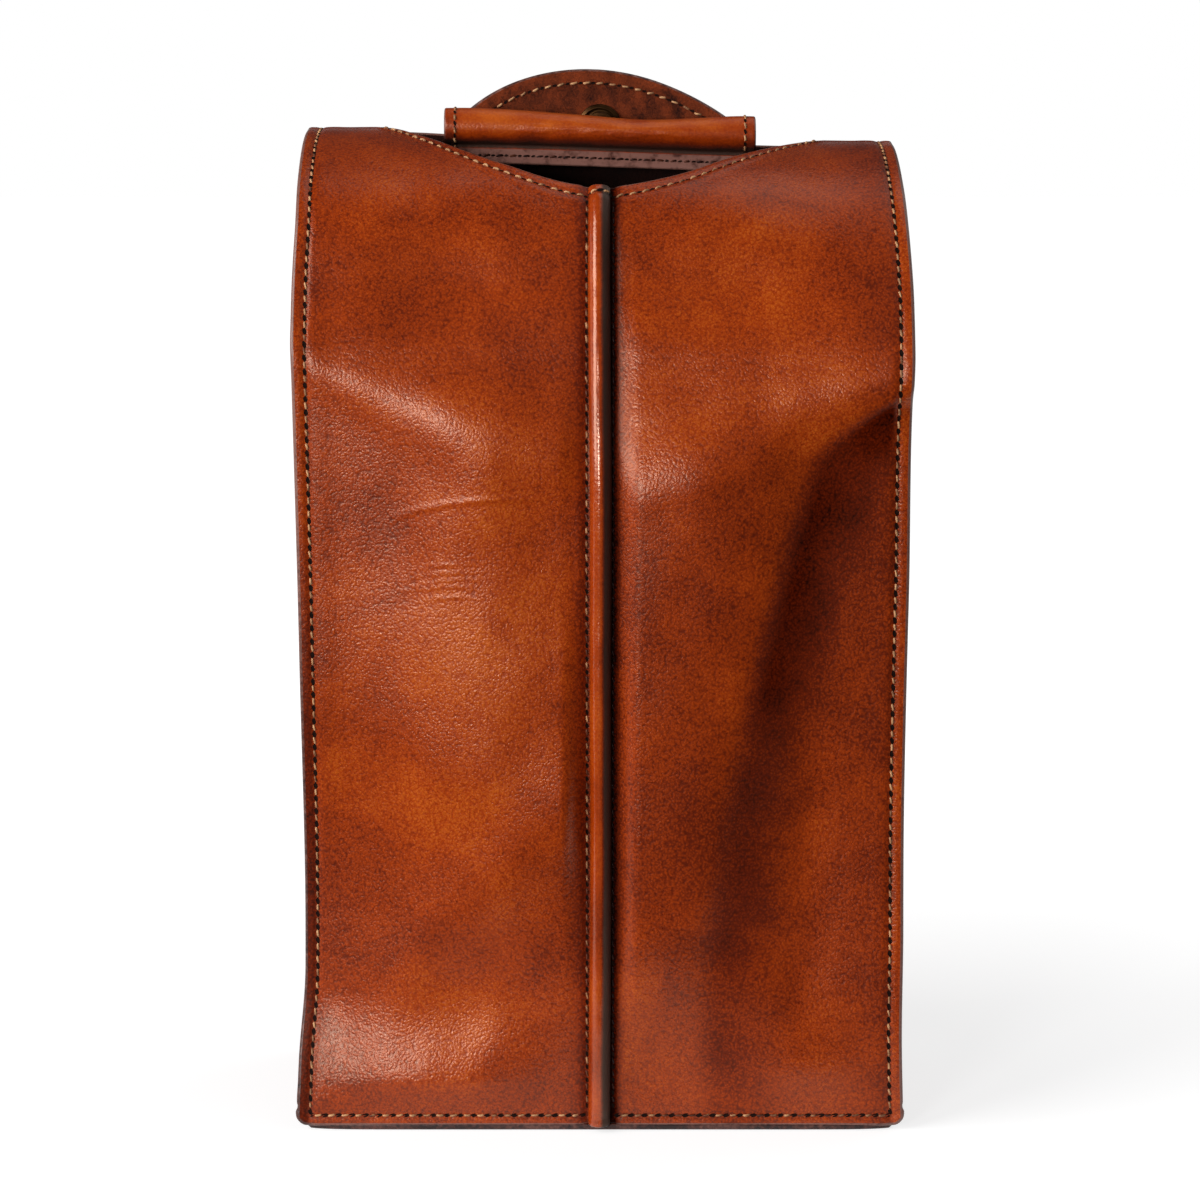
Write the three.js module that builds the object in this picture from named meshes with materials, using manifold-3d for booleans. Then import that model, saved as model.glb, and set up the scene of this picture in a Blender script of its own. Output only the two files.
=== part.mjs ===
// A leather carrier for two wine bottles that stand side by side.
// Millimetres, +Z up, the front towards -Y, the origin under the middle of the base.

import * as THREE from 'three';
import { mergeVertices } from 'three/addons/utils/BufferGeometryUtils.js';
import Module from 'manifold-3d';

const wasm = await Module();
wasm.setup();

// Driving dimensions of the bag
const HALF_WIDTH = 102;        // to the cut edge of the sewn side flanges
const FRONT = -48;             // outer face of the front leather
const BACK = 48;               // outer face of the back leather
const SHOULDER = 263;          // height where the front starts to bend back
const CREST = 330;             // height of the roof at its back edge
const ROOF_FLAT = 7;           // level end of the roof over the back panel
const WAIST = 0.019;           // share of the width that the sides pull in between base and shoulder
const TAPER = 0.018;           // share of the width lost towards the crest
const BULGE = 4;               // how far a front panel swells between its seams
const GAP = 0.3;               // clearance between touching pieces
const FRONT_STEPS = 10;        // facets up the straight front, the same on panel and gusset
const ROOF_STEPS = 18;         // facets over the roof

// Leather and board thicknesses
const PANEL = 2.2;
const GUSSET = 1.8;
const SOLE = 2;
const FACING = 1.2;
const BOARD = 2.5;

// Sewn edges and the mouth
const FLANGE = 5.5;            // width of the flange outside the side wall
const SEAM_HALF_GAP = 0.3;     // half of the slit between the two front panels
const NECK_FRONT = -11;        // lowest point of the neckline, at the welt
const NECK_HALF = 79;          // where the neckline meets the back panel
const FACING_WIDTH = 12;
const FACING_END = 72;
const BACK_DROP = 0.5;         // the back panel's top edge ends this far under the roof leather

// Welt over the centre seam
const WELT_HALF = 3.7;
const WELT_HEIGHT = 4.2;
const WELT_LEATHER = 1.1;

// Handle
const GRIP_Y = 31;
const GRIP_Z = 332.3;
const GRIP_RADIUS = 6.1;
const GRIP_BORE = 4.3;
const GRIP_LENGTH = 105.5;
const CORE_RADIUS = 4;
const CORE_LENGTH = 102.5;
const GRIP_FLANGE = 2.6;       // two leather layers sewn together below the roll
const GRIP_FLANGE_LOW = 320.5;
const STRAP = 2.4;
const STRAP_WIDTH = 16;
const STRAP_X = 45.5;
const FOLD_Y = 42.3;           // line on which the straps fold
const FOLD_Z = 285.9;
const FOLD_GAP = 0.45;         // between the fold line and each end of the straps
const ANCHOR_LOW = 235;
const RIVET_HEIGHTS = { low: 247, high: 268 };
const RIVET_SHANK = 1.7;
const RIVET_HEAD = 4.2;

// Tab and press stud
const TAB_HALF = 50;
const TAB_LOW = 326.2;
const LINING_LOW = 329;        // the lining starts above the back panel's top edge
const TAB_ARC_LOW = 332;       // the half-moon's arc ends here and its sides go straight down
const TAB_TOP = 351.5;
const TAB_LEATHER = 2.2;
const LINING = 2.2;
const ROOT_LOW = 296;
const SNAP_Z = 332.9;
const STUD_RADIUS = 7.5;
const CAP_RADIUS = 6.2;
const POST_RADIUS = 1.5;
const POST_HOLE = 1.9;

const clamp = THREE.MathUtils.clamp;
const smoothstep = THREE.MathUtils.smoothstep;

// Materials

function material(color, roughness, metalness = 0) {
  return new THREE.MeshStandardMaterial({ color, roughness, metalness });
}

const stainedLeather = () => material('#8a3d17', 0.45);
const darkLeather = () => material('#5a2a18', 0.55);
const fleshSide = () => material('#4a2c20', 0.85);
const brass = () => material('#6f5a38', 0.4, 1);
const board = () => material('#a58c66', 0.9);
const cord = () => material('#c9bda2', 0.95);

// Geometry helpers

function fromTriangles(positions, indices) {
  const geometry = new THREE.BufferGeometry();
  geometry.setAttribute('position', new THREE.Float32BufferAttribute(positions, 3));
  geometry.setIndex(indices);
  geometry.computeVertexNormals();
  return geometry;
}

function signedVolume(rings, indices) {
  const points = rings.flat();
  let sum = 0;
  for (let i = 0; i < indices.length; i += 3) {
    const [a, b, c] = [points[indices[i]], points[indices[i + 1]], points[indices[i + 2]]];
    sum += a.dot(new THREE.Vector3().crossVectors(b, c));
  }
  return sum;
}

// A closed solid through rings of equal, even length. Each end is closed by a strip that
// joins the first half of its ring to the second half.
function loft(rings) {
  const count = rings[0].length;
  const indices = [];
  const quad = (a, b, c, d) => indices.push(a, b, c, a, c, d);
  for (let ring = 0; ring + 1 < rings.length; ring++) {
    for (let k = 0; k < count; k++) {
      const next = (k + 1) % count;
      const low = ring * count;
      quad(low + k, low + next, low + count + next, low + count + k);
    }
  }
  const last = (rings.length - 1) * count;
  for (let k = 0; k + 1 < count / 2; k++) {
    const far = count - 1 - k;
    quad(k, far, far - 1, k + 1);
    quad(last + k, last + k + 1, last + far - 1, last + far);
  }
  if (signedVolume(rings, indices) < 0) indices.reverse();
  return fromTriangles(rings.flat().flatMap((p) => [p.x, p.y, p.z]), indices);
}

function extrude(shape, depth, curveSegments = 16) {
  return new THREE.ExtrudeGeometry(shape, { depth, bevelEnabled: false, curveSegments });
}

const X = new THREE.Vector3(1, 0, 0);
const Y = new THREE.Vector3(0, 1, 0);
const Z = new THREE.Vector3(0, 0, 1);

// A shape drawn in Y and Z, extruded from x0 to x1
function alongX(shape, x0, x1, curveSegments) {
  const turn = new THREE.Matrix4().makeBasis(Y, Z, X).setPosition(x0, 0, 0);
  return extrude(shape, x1 - x0, curveSegments).applyMatrix4(turn);
}

// A shape drawn in X and Z, extruded from y0 to y1
function alongY(shape, y0, y1, curveSegments) {
  const turn = new THREE.Matrix4().makeBasis(X, Z, Y.clone().negate()).setPosition(0, y1, 0);
  return extrude(shape, y1 - y0, curveSegments).applyMatrix4(turn);
}

// A shape drawn in X and Y, extruded from z0 to z1
function alongZ(shape, z0, z1, curveSegments) {
  return extrude(shape, z1 - z0, curveSegments).translate(0, 0, z0);
}

// A revolved profile of [radius, height] pairs, its axis along Y, height 0 at y0
function turned(profile, x, y0, z, segments = 24) {
  const points = profile.map(([radius, height]) => new THREE.Vector2(radius, height));
  return new THREE.LatheGeometry(points, segments).translate(x, y0, z);
}

function rod(radius, x, y0, y1, z) {
  return turned([[0, 0], [radius, 0], [radius, y1 - y0], [0, y1 - y0]], x, y0, z, 20);
}

function rectangle(x0, y0, x1, y1) {
  const shape = new THREE.Shape();
  shape.moveTo(x0, y0).lineTo(x1, y0).lineTo(x1, y1).lineTo(x0, y1).closePath();
  return shape;
}

function solid(geometry) {
  const bare = geometry.clone();
  bare.deleteAttribute('normal');
  bare.deleteAttribute('uv');
  const merged = mergeVertices(bare, 1e-4);
  return new wasm.Manifold(new wasm.Mesh({
    numProp: 3,
    vertProperties: new Float32Array(merged.attributes.position.array),
    triVerts: new Uint32Array(merged.index.array),
  }));
}

function geometryOf(body) {
  const mesh = body.getMesh();
  return fromTriangles(Array.from(mesh.vertProperties), Array.from(mesh.triVerts));
}

function cut(geometry, ...tools) {
  return geometryOf(tools.reduce((body, tool) => body.subtract(solid(tool)), solid(geometry)));
}

function join(...geometries) {
  return geometryOf(geometries.map(solid).reduce((body, other) => body.add(other)));
}

// The side profile that front, roof and gussets share, drawn in Y and Z

const ROOF_CENTRE_Y = BACK - ROOF_FLAT;
const SEWN_LOW = SOLE + GAP;

function profileCurve() {
  const curve = new THREE.CurvePath();
  const depth = ROOF_CENTRE_Y - FRONT;
  curve.add(new THREE.LineCurve(new THREE.Vector2(FRONT, SEWN_LOW), new THREE.Vector2(FRONT, SHOULDER)));
  curve.add(new THREE.EllipseCurve(
    ROOF_CENTRE_Y, SHOULDER, depth, CREST - SHOULDER, Math.PI, Math.PI / 2, true));
  curve.add(new THREE.LineCurve(
    new THREE.Vector2(ROOF_CENTRE_Y, CREST), new THREE.Vector2(BACK, CREST)));
  return curve;
}

const profile = profileCurve();
const PROFILE_LENGTH = profile.getLength();

// Point of the profile at arc length s, moved inward by depth
function profilePoint(s, depth) {
  const u = clamp(s / PROFILE_LENGTH, 0, 1);
  const point = profile.getPointAt(u);
  const tangent = profile.getTangentAt(u);
  return new THREE.Vector2(point.x + tangent.y * depth, point.y - tangent.x * depth);
}

function waist(z) {
  const share = clamp(z / SHOULDER, 0, 1);
  return 1 - WAIST * Math.sin(Math.PI * share ** 0.7) - TAPER * smoothstep(z, SHOULDER + 20, CREST);
}

function swell(x, s) {
  const across = smoothstep(Math.abs(x), 5, 42) * (1 - smoothstep(Math.abs(x), 58, 95));
  const along = smoothstep(s, 0, 70) * (1 - 0.8 * smoothstep(s, 230, 330));
  return BULGE * across * along;
}

// Point of the front leather at x and arc length s, moved inward by depth
function skinPoint(x, s, depth) {
  const point = profilePoint(s, depth - swell(x, s));
  return new THREE.Vector3(x * waist(point.y), point.x, point.y);
}

// Arc length at which the neckline crosses the column at x
function neckLength(x) {
  const share = Math.abs(x) / NECK_HALF;
  if (share >= 1) return PROFILE_LENGTH;
  const target = NECK_FRONT + (BACK - NECK_FRONT) * share ** 2;
  let low = SHOULDER;
  let high = PROFILE_LENGTH;
  for (let step = 0; step < 30; step++) {
    const middle = (low + high) / 2;
    if (profilePoint(middle, 0).x < target) low = middle;
    else high = middle;
  }
  return (low + high) / 2;
}

function spread(from, to, steps) {
  return Array.from({ length: steps + 1 }, (_, i) => from + (to - from) * i / steps);
}

const FRONT_LENGTH = SHOULDER - SEWN_LOW;

// Arc lengths of the facets up the front and over the roof as far as end
function facetLengths(end) {
  return [...spread(0, FRONT_LENGTH, FRONT_STEPS), ...spread(FRONT_LENGTH, end, ROOF_STEPS).slice(1)];
}

// A sheet of leather between two depths under the front face, in columns along x
function skinSheet(columns, lengthsAt, outer, inner) {
  return loft(columns.map((x) => {
    const lengths = lengthsAt(x);
    const face = lengths.map((s) => skinPoint(x, s, outer));
    const under = lengths.map((s) => skinPoint(x, s, inner)).reverse();
    return [...face, ...under];
  }));
}

// Bag

function frontPanel(side) {
  const mouth = spread(SEAM_HALF_GAP, NECK_HALF, 12);
  const shoulder = spread(NECK_HALF, HALF_WIDTH, 4).slice(1);
  const columns = [...mouth, ...shoulder].map((x) => side * x);
  return skinSheet(columns, (x) => facetLengths(neckLength(x)), 0, PANEL);
}

function neckFacing(side) {
  const columns = spread(SEAM_HALF_GAP, FACING_END, 12).map((x) => side * x);
  const outer = PANEL + GAP;
  const lengthsAt = (x) => spread(neckLength(x) - FACING_WIDTH, neckLength(x), 3);
  return skinSheet(columns, lengthsAt, outer, outer + FACING);
}

// The welt's sections are half ellipses that stand on the front leather
function weltSection(s, half, height, points) {
  return spread(0, Math.PI, points).map((angle) => {
    const skin = profilePoint(s, -GAP - height * Math.sin(angle));
    return new THREE.Vector3(half * Math.cos(angle), skin.x, skin.y);
  });
}

const WELT_STEPS = 30;

function centreWelt() {
  const inHalf = WELT_HALF - WELT_LEATHER;
  const inHeight = WELT_HEIGHT - WELT_LEATHER;
  return loft(spread(0, neckLength(0), WELT_STEPS).map((s) => [
    ...weltSection(s, WELT_HALF, WELT_HEIGHT, 9),
    ...weltSection(s, inHalf, inHeight, 9).reverse(),
  ]));
}

function weltCord() {
  const half = WELT_HALF - WELT_LEATHER - GAP;
  const height = WELT_HEIGHT - WELT_LEATHER - GAP;
  return loft(spread(1, neckLength(0) - 1, WELT_STEPS).map((s) => weltSection(s, half, height, 7)));
}

function gussetOutline(depth, low) {
  const backInset = PANEL + GAP;
  const rise = facetLengths(PROFILE_LENGTH).map((s) => profilePoint(s, depth));
  const back = BACK - backInset - (depth - backInset);
  const outline = rise.filter((point) => point.x < back - 1);
  outline[0] = new THREE.Vector2(outline[0].x, low);
  outline.push(new THREE.Vector2(back, CREST - depth));
  for (const z of spread(CREST - depth, low, 12).slice(1)) {
    outline.push(new THREE.Vector2(back, z));
  }
  return outline;
}

function gusset(side) {
  const outerDepth = PANEL + GAP;
  const wall = HALF_WIDTH - FLANGE;
  const outline = gussetOutline(outerDepth, SEWN_LOW);
  const inner = gussetOutline(outerDepth + GUSSET, SEWN_LOW);
  const plate = alongX(new THREE.Shape(outline), wall - GUSSET, wall);
  const band = new THREE.Shape([...outline, ...inner.reverse()]);
  const flanges = alongX(band, wall - GUSSET, HALF_WIDTH);
  const geometry = join(plate, flanges);
  const place = geometry.attributes.position;
  for (let i = 0; i < place.count; i++) {
    place.setX(i, place.getX(i) * waist(place.getZ(i)));
  }
  if (side < 0) mirror(geometry);
  geometry.computeVertexNormals();
  return geometry;
}

function mirror(geometry) {
  geometry.applyMatrix4(new THREE.Matrix4().makeScale(-1, 1, 1));
  geometry.index.array.reverse();
}

const BACK_TOP = CREST - PANEL - BACK_DROP;

const DRILL_END = BACK + 10;   // behind everything that a hole goes through

function rivetHoles(side, radius) {
  return Object.values(RIVET_HEIGHTS).map((z) => rod(radius, side * STRAP_X, GRIP_Y, DRILL_END, z));
}

function backPanel() {
  const rings = spread(SEWN_LOW, BACK_TOP, 24).map((z) => {
    const half = HALF_WIDTH * waist(z);
    return [[-half, BACK], [half, BACK], [half, BACK - PANEL], [-half, BACK - PANEL]]
      .map(([x, y]) => new THREE.Vector3(x, y, z));
  });
  const hole = RIVET_SHANK + GAP;
  return cut(loft(rings), ...rivetHoles(-1, hole), ...rivetHoles(1, hole));
}

const BACK_FACING = 1.5;
const BACK_FACING_LOW = 292;
const BACK_FACING_HALF = 78;
const BACK_FACING_DROP = 2.5;  // from the back panel's top edge

function backFacing() {
  const inner = BACK - PANEL - GAP;
  const top = BACK_TOP - BACK_FACING_DROP;
  const shape = rectangle(-BACK_FACING_HALF, BACK_FACING_LOW, BACK_FACING_HALF, top);
  return alongY(shape, inner - BACK_FACING, inner);
}

const RIM_HEIGHT = 8;
const RIM_HALF_X = 93.7;
const RIM_HALF_Y = BACK - PANEL - GAP;

function basePanel() {
  const plate = alongZ(rectangle(-HALF_WIDTH, FRONT + GAP, HALF_WIDTH, BACK - GAP), 0, SOLE);
  const rim = rectangle(-RIM_HALF_X, -RIM_HALF_Y, RIM_HALF_X, RIM_HALF_Y);
  const insideX = RIM_HALF_X - GUSSET;
  const insideY = RIM_HALF_Y - GUSSET;
  rim.holes.push(rectangle(-insideX, -insideY, insideX, insideY));
  return join(plate, alongZ(rim, SOLE / 2, SOLE + RIM_HEIGHT));
}

const BOARD_CLEAR = 0.6;

function baseBoard() {
  const halfX = RIM_HALF_X - GUSSET - BOARD_CLEAR;
  const halfY = RIM_HALF_Y - GUSSET - BOARD_CLEAR;
  return alongZ(rectangle(-halfX, -halfY, halfX, halfY), SEWN_LOW, SEWN_LOW + BOARD);
}

const DIVIDER_HALF = 1;
const DIVIDER_TOP = 240;
const DIVIDER_SCOOP = 40;
const DIVIDER_CORNER = { width: 8, height: 7 };

function divider() {
  const low = SEWN_LOW + BOARD + GAP;
  const rimTop = SOLE + RIM_HEIGHT + GAP;
  const narrow = RIM_HALF_Y - GUSSET - GAP;
  const wide = BACK - PANEL - GAP;
  const cornerY = wide - DIVIDER_CORNER.width;
  const cornerZ = DIVIDER_TOP - DIVIDER_CORNER.height;
  const shape = new THREE.Shape();
  shape.moveTo(-narrow, low).lineTo(narrow, low).lineTo(narrow, rimTop).lineTo(wide, rimTop);
  shape.lineTo(wide, cornerZ).lineTo(cornerY, DIVIDER_TOP);
  shape.quadraticCurveTo(0, DIVIDER_TOP - 2 * DIVIDER_SCOOP, -cornerY, DIVIDER_TOP);
  shape.lineTo(-wide, cornerZ).lineTo(-wide, rimTop).lineTo(-narrow, rimTop).closePath();
  return alongX(shape, -DIVIDER_HALF, DIVIDER_HALF);
}

// Handle

const SOCKET_Y = GRIP_Y + GRIP_RADIUS + GAP;

function gripSleeve() {
  const half = GRIP_FLANGE / 2;
  const start = Math.asin(half / GRIP_RADIUS) - Math.PI / 2;
  const shape = new THREE.Shape();
  shape.moveTo(GRIP_Y + half, GRIP_FLANGE_LOW);
  shape.absarc(GRIP_Y, GRIP_Z, GRIP_RADIUS, start, Math.PI - start, false);
  shape.lineTo(GRIP_Y - half, GRIP_FLANGE_LOW).closePath();
  const bore = new THREE.Path();
  bore.absarc(GRIP_Y, GRIP_Z, GRIP_BORE, 0, 2 * Math.PI, true);
  shape.holes.push(bore);
  const sleeve = alongX(shape, -GRIP_LENGTH / 2, GRIP_LENGTH / 2, 28);
  return cut(sleeve, rod(POST_HOLE, 0, GRIP_Y, DRILL_END, SNAP_Z));
}

function gripCore() {
  const geometry = new THREE.CylinderGeometry(CORE_RADIUS, CORE_RADIUS, CORE_LENGTH, 24);
  return geometry.rotateZ(Math.PI / 2).translate(0, GRIP_Y, GRIP_Z);
}

const LEG_TOP = 325.6;
const LEG_TOP_Y = GRIP_Y + GRIP_FLANGE / 2 + GAP + STRAP / 2;

function handleLeg(side) {
  const curve = new THREE.CubicBezierCurve(
    new THREE.Vector2(FOLD_Y, FOLD_Z + FOLD_GAP), new THREE.Vector2(FOLD_Y - 3, FOLD_Z + 12),
    new THREE.Vector2(LEG_TOP_Y, LEG_TOP - 20), new THREE.Vector2(LEG_TOP_Y, LEG_TOP));
  return loft(spread(0, 1, 10).map((t) => {
    const point = curve.getPoint(t);
    const tangent = curve.getTangent(t);
    const corners = [[-1, -1], [1, -1], [1, 1], [-1, 1]];
    return corners.map(([across, over]) => new THREE.Vector3(
      side * STRAP_X + across * STRAP_WIDTH / 2,
      point.x - tangent.y * over * STRAP / 2,
      point.y + tangent.x * over * STRAP / 2));
  }));
}

function handleAnchor(side) {
  const half = STRAP_WIDTH / 2;
  const shape = new THREE.Shape();
  shape.moveTo(-half, FOLD_Z - FOLD_GAP).lineTo(-half, ANCHOR_LOW + half);
  shape.absarc(0, ANCHOR_LOW + half, half, Math.PI, 2 * Math.PI, false);
  shape.lineTo(half, FOLD_Z - FOLD_GAP).closePath();
  const inner = BACK - PANEL - GAP;
  const strap = alongY(shape, inner - STRAP, inner).translate(side * STRAP_X, 0, 0);
  return cut(strap, ...rivetHoles(side, RIVET_SHANK + GAP));
}

// A solid rivet with a low dome on both ends, its outer head behind the back panel
function rivet(side, z) {
  const inside = BACK - PANEL - GAP - STRAP - GAP;
  const grip = BACK + GAP - inside;
  const dome = 1.4;
  const rim = 0.4;
  const flat = RIVET_HEAD * 0.6;
  const profilePairs = [
    [0, -dome], [flat, -dome], [RIVET_HEAD, -rim], [RIVET_HEAD, 0], [RIVET_SHANK, 0],
    [RIVET_SHANK, grip], [RIVET_HEAD, grip], [RIVET_HEAD, grip + rim], [flat, grip + dome], [0, grip + dome],
  ];
  return turned(profilePairs, side * STRAP_X, inside, z);
}

const SOCKET_RADIUS = 5;
const SOCKET_BORE = 3.1;

// The socket's open side faces the tab, and its stem goes through the wall of the sleeve
function snapSocket() {
  const stemLength = 1.9;
  const plate = 1.2;
  const height = 2.7;
  const bevel = 0.5;
  const profilePairs = [
    [0, -stemLength], [POST_RADIUS, -stemLength], [POST_RADIUS, 0], [SOCKET_RADIUS, 0],
    [SOCKET_RADIUS, height - bevel], [SOCKET_RADIUS - bevel, height], [SOCKET_BORE, height],
    [SOCKET_BORE, plate], [0, plate],
  ];
  return turned(profilePairs, 0, SOCKET_Y, SNAP_Z);
}

// Tab

const TAB_FACE = BACK + GAP;
const LINING_FACE = TAB_FACE - GAP - LINING;

function halfMoon(low) {
  const rise = TAB_TOP - TAB_ARC_LOW;
  const radius = (TAB_HALF ** 2 + rise ** 2) / (2 * rise);
  const sweep = Math.asin(TAB_HALF / radius);
  const shape = new THREE.Shape();
  shape.moveTo(TAB_HALF, low);
  shape.absarc(0, TAB_TOP - radius, radius, Math.PI / 2 - sweep, Math.PI / 2 + sweep, false);
  shape.lineTo(-TAB_HALF, low).closePath();
  return shape;
}

const postHole = () => rod(POST_HOLE, 0, GRIP_Y, DRILL_END, SNAP_Z);

function tabOuter() {
  return cut(alongY(halfMoon(TAB_LOW), TAB_FACE, TAB_FACE + TAB_LEATHER, 28), postHole());
}

function tabLining() {
  return cut(alongY(halfMoon(LINING_LOW), LINING_FACE, LINING_FACE + LINING, 28), postHole());
}

function tabRoot() {
  const corner = 10;
  const top = TAB_LOW - FOLD_GAP;
  const shape = new THREE.Shape();
  shape.moveTo(TAB_HALF, top).lineTo(-TAB_HALF, top).lineTo(-TAB_HALF, ROOT_LOW + corner);
  shape.absarc(-TAB_HALF + corner, ROOT_LOW + corner, corner, Math.PI, 1.5 * Math.PI, false);
  shape.absarc(TAB_HALF - corner, ROOT_LOW + corner, corner, 1.5 * Math.PI, 2 * Math.PI, false);
  shape.closePath();
  return alongY(shape, TAB_FACE, TAB_FACE + TAB_LEATHER, 8);
}

// The stud's collar rests on the lining, its nose faces the grip and its post goes through the tab
function snapStud() {
  const collar = 1.4;
  const tip = -collar - 1.7;
  const neck = 2.2;
  const noseRadius = 2.6;
  const bevel = 0.7;
  const postEnd = LINING + TAB_LEATHER + GAP;
  const profilePairs = [
    [0, tip], [noseRadius - bevel, tip], [noseRadius, tip + bevel], [neck, -collar],
    [STUD_RADIUS - bevel, -collar], [STUD_RADIUS, -collar + bevel], [STUD_RADIUS, 0],
    [POST_RADIUS, 0], [POST_RADIUS, postEnd], [0, postEnd],
  ];
  return turned(profilePairs, 0, LINING_FACE - GAP, SNAP_Z, 28);
}

function snapCap() {
  const rim = 0.6;
  const crown = 1.7;
  const profilePairs = [
    [0, 0], [CAP_RADIUS, 0], [CAP_RADIUS, rim], [CAP_RADIUS * 0.75, crown - 0.25], [0, crown],
  ];
  return turned(profilePairs, 0, TAB_FACE + TAB_LEATHER + GAP, SNAP_Z, 28);
}

// Assembly

const bag = new THREE.Group();
const handle = new THREE.Group();
const tab = new THREE.Group();
const carrier = new THREE.Group();
carrier.add(bag, handle, tab);

function place(group, name, geometry, finish) {
  const mesh = new THREE.Mesh(geometry, finish);
  mesh.name = name;
  group.add(mesh);
}

const SIDES = { left: -1, right: 1 };
for (const [name, side] of Object.entries(SIDES)) {
  place(bag, `front_panel_${name}`, frontPanel(side), stainedLeather());
  place(bag, `neck_facing_${name}`, neckFacing(side), darkLeather());
  place(bag, `gusset_${name}`, gusset(side), stainedLeather());
  place(bag, `handle_anchor_${name}`, handleAnchor(side), darkLeather());
  place(handle, `handle_leg_${name}`, handleLeg(side), darkLeather());
  for (const [level, z] of Object.entries(RIVET_HEIGHTS)) {
    place(bag, `rivet_${name}_${level}`, rivet(side, z), brass());
  }
}
place(bag, 'centre_welt', centreWelt(), stainedLeather());
place(bag, 'welt_cord', weltCord(), cord());
place(bag, 'back_panel', backPanel(), stainedLeather());
place(bag, 'back_facing', backFacing(), fleshSide());
place(bag, 'base_panel', basePanel(), darkLeather());
place(bag, 'base_board', baseBoard(), board());
place(bag, 'divider', divider(), fleshSide());
place(bag, 'tab_root', tabRoot(), stainedLeather());
place(handle, 'grip_sleeve', gripSleeve(), stainedLeather());
place(handle, 'grip_core', gripCore(), board());
place(handle, 'snap_socket', snapSocket(), brass());
place(tab, 'tab_outer', tabOuter(), stainedLeather());
place(tab, 'tab_lining', tabLining(), fleshSide());
place(tab, 'snap_stud', snapStud(), brass());
place(tab, 'snap_cap', snapCap(), brass());

export default carrier;
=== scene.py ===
"""A stained leather carrier for two wine bottles, dressed over its solid model."""

import math

import bpy
import numpy as np
from bpy.props import FloatProperty, FloatVectorProperty, PointerProperty
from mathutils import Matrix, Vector


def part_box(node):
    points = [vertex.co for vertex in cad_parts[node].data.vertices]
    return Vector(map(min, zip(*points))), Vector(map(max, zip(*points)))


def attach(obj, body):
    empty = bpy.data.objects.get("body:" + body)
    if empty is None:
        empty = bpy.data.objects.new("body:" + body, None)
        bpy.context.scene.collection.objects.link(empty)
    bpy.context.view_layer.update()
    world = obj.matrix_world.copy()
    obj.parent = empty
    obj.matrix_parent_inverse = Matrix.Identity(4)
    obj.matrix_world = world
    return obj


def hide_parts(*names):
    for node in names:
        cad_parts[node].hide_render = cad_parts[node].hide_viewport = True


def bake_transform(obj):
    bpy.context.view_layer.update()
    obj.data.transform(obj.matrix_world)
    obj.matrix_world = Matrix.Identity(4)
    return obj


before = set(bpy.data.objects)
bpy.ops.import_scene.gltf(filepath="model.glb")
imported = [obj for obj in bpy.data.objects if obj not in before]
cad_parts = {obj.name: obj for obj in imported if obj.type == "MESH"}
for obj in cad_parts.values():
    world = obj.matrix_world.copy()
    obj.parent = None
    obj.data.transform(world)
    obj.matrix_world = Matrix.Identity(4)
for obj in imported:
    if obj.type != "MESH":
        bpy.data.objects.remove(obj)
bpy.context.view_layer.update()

bl_info = {
    "name": "Wine bottle carrier",
    "version": (1, 0, 0),
    "blender": (4, 5, 0),
    "location": "3D View > Sidebar > Carrier",
    "description": "Makes the leather, stitching, brass and studio of a two-bottle carrier",
    "category": "Object",
}

MM = 0.001
GAP = 0.3 * MM

# Sizes of the bag that come from the frame
HALF_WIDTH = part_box("base_panel")[1][0]
SEWN_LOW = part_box("back_panel")[0][2]
BACK_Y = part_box("back_panel")[1][1]
PANEL = BACK_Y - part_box("back_panel")[0][1]
BACK_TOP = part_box("back_panel")[1][2]
FRONT_Y = -BACK_Y
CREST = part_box("gusset_left")[1][2] + PANEL + GAP

# Sizes of the handle and the tab that come from the frame
GRIP_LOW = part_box("grip_sleeve")[0][2]
GRIP_RADIUS = (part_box("grip_sleeve")[1][1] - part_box("grip_sleeve")[0][1]) / 2
GRIP_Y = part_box("grip_sleeve")[1][1] - GRIP_RADIUS
GRIP_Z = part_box("grip_sleeve")[1][2] - GRIP_RADIUS
GRIP_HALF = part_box("grip_sleeve")[1][0]
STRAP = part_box("handle_anchor_left")[1][1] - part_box("handle_anchor_left")[0][1]
TAB_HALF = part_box("tab_outer")[1][0]
TAB_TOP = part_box("tab_outer")[1][2]
SNAP_Z = (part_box("snap_cap")[0][2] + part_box("snap_cap")[1][2]) / 2

# Forms that the frame's boxes don't show
SHOULDER = 263 * MM            # the front is upright up to here
ROOF_FLAT = 7 * MM             # level end of the roof
NECK_FRONT = -14.5 * MM        # lowest point of the neckline
NECK_HALF = 79 * MM            # the neckline meets the back panel here
FLANGE = 5.5 * MM              # sewn margin outside the side walls
GUSSET = 1.8 * MM
WELT_HALF = 3.7 * MM
WELT_HEIGHT = 4.2 * MM
SEAM_INSET = 4 * MM            # from a cut edge to its stitches
TAB_ARC_LOW = 332 * MM         # the half-moon's arc ends here
GRIP_FLANGE_HALF = 1.3 * MM    # half of the two layers below the roll


# Small tools for shapes

def linear(hex_colour):
    """Linear RGB of an sRGB hex colour."""
    channels = [int(hex_colour[i:i + 2], 16) / 255 for i in (1, 3, 5)]
    return tuple(c / 12.92 if c <= 0.04045 else ((c + 0.055) / 1.055) ** 2.4 for c in channels)


def ease(value, low, high):
    """Rises smoothly from 0 at low to 1 at high."""
    share = np.clip((value - low) / (high - low), 0, 1)
    return share * share * (3 - 2 * share)


def hump(value, middle, half):
    """A smooth hump of height 1 at middle."""
    return np.exp(-((value - middle) / half) ** 2)


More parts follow.
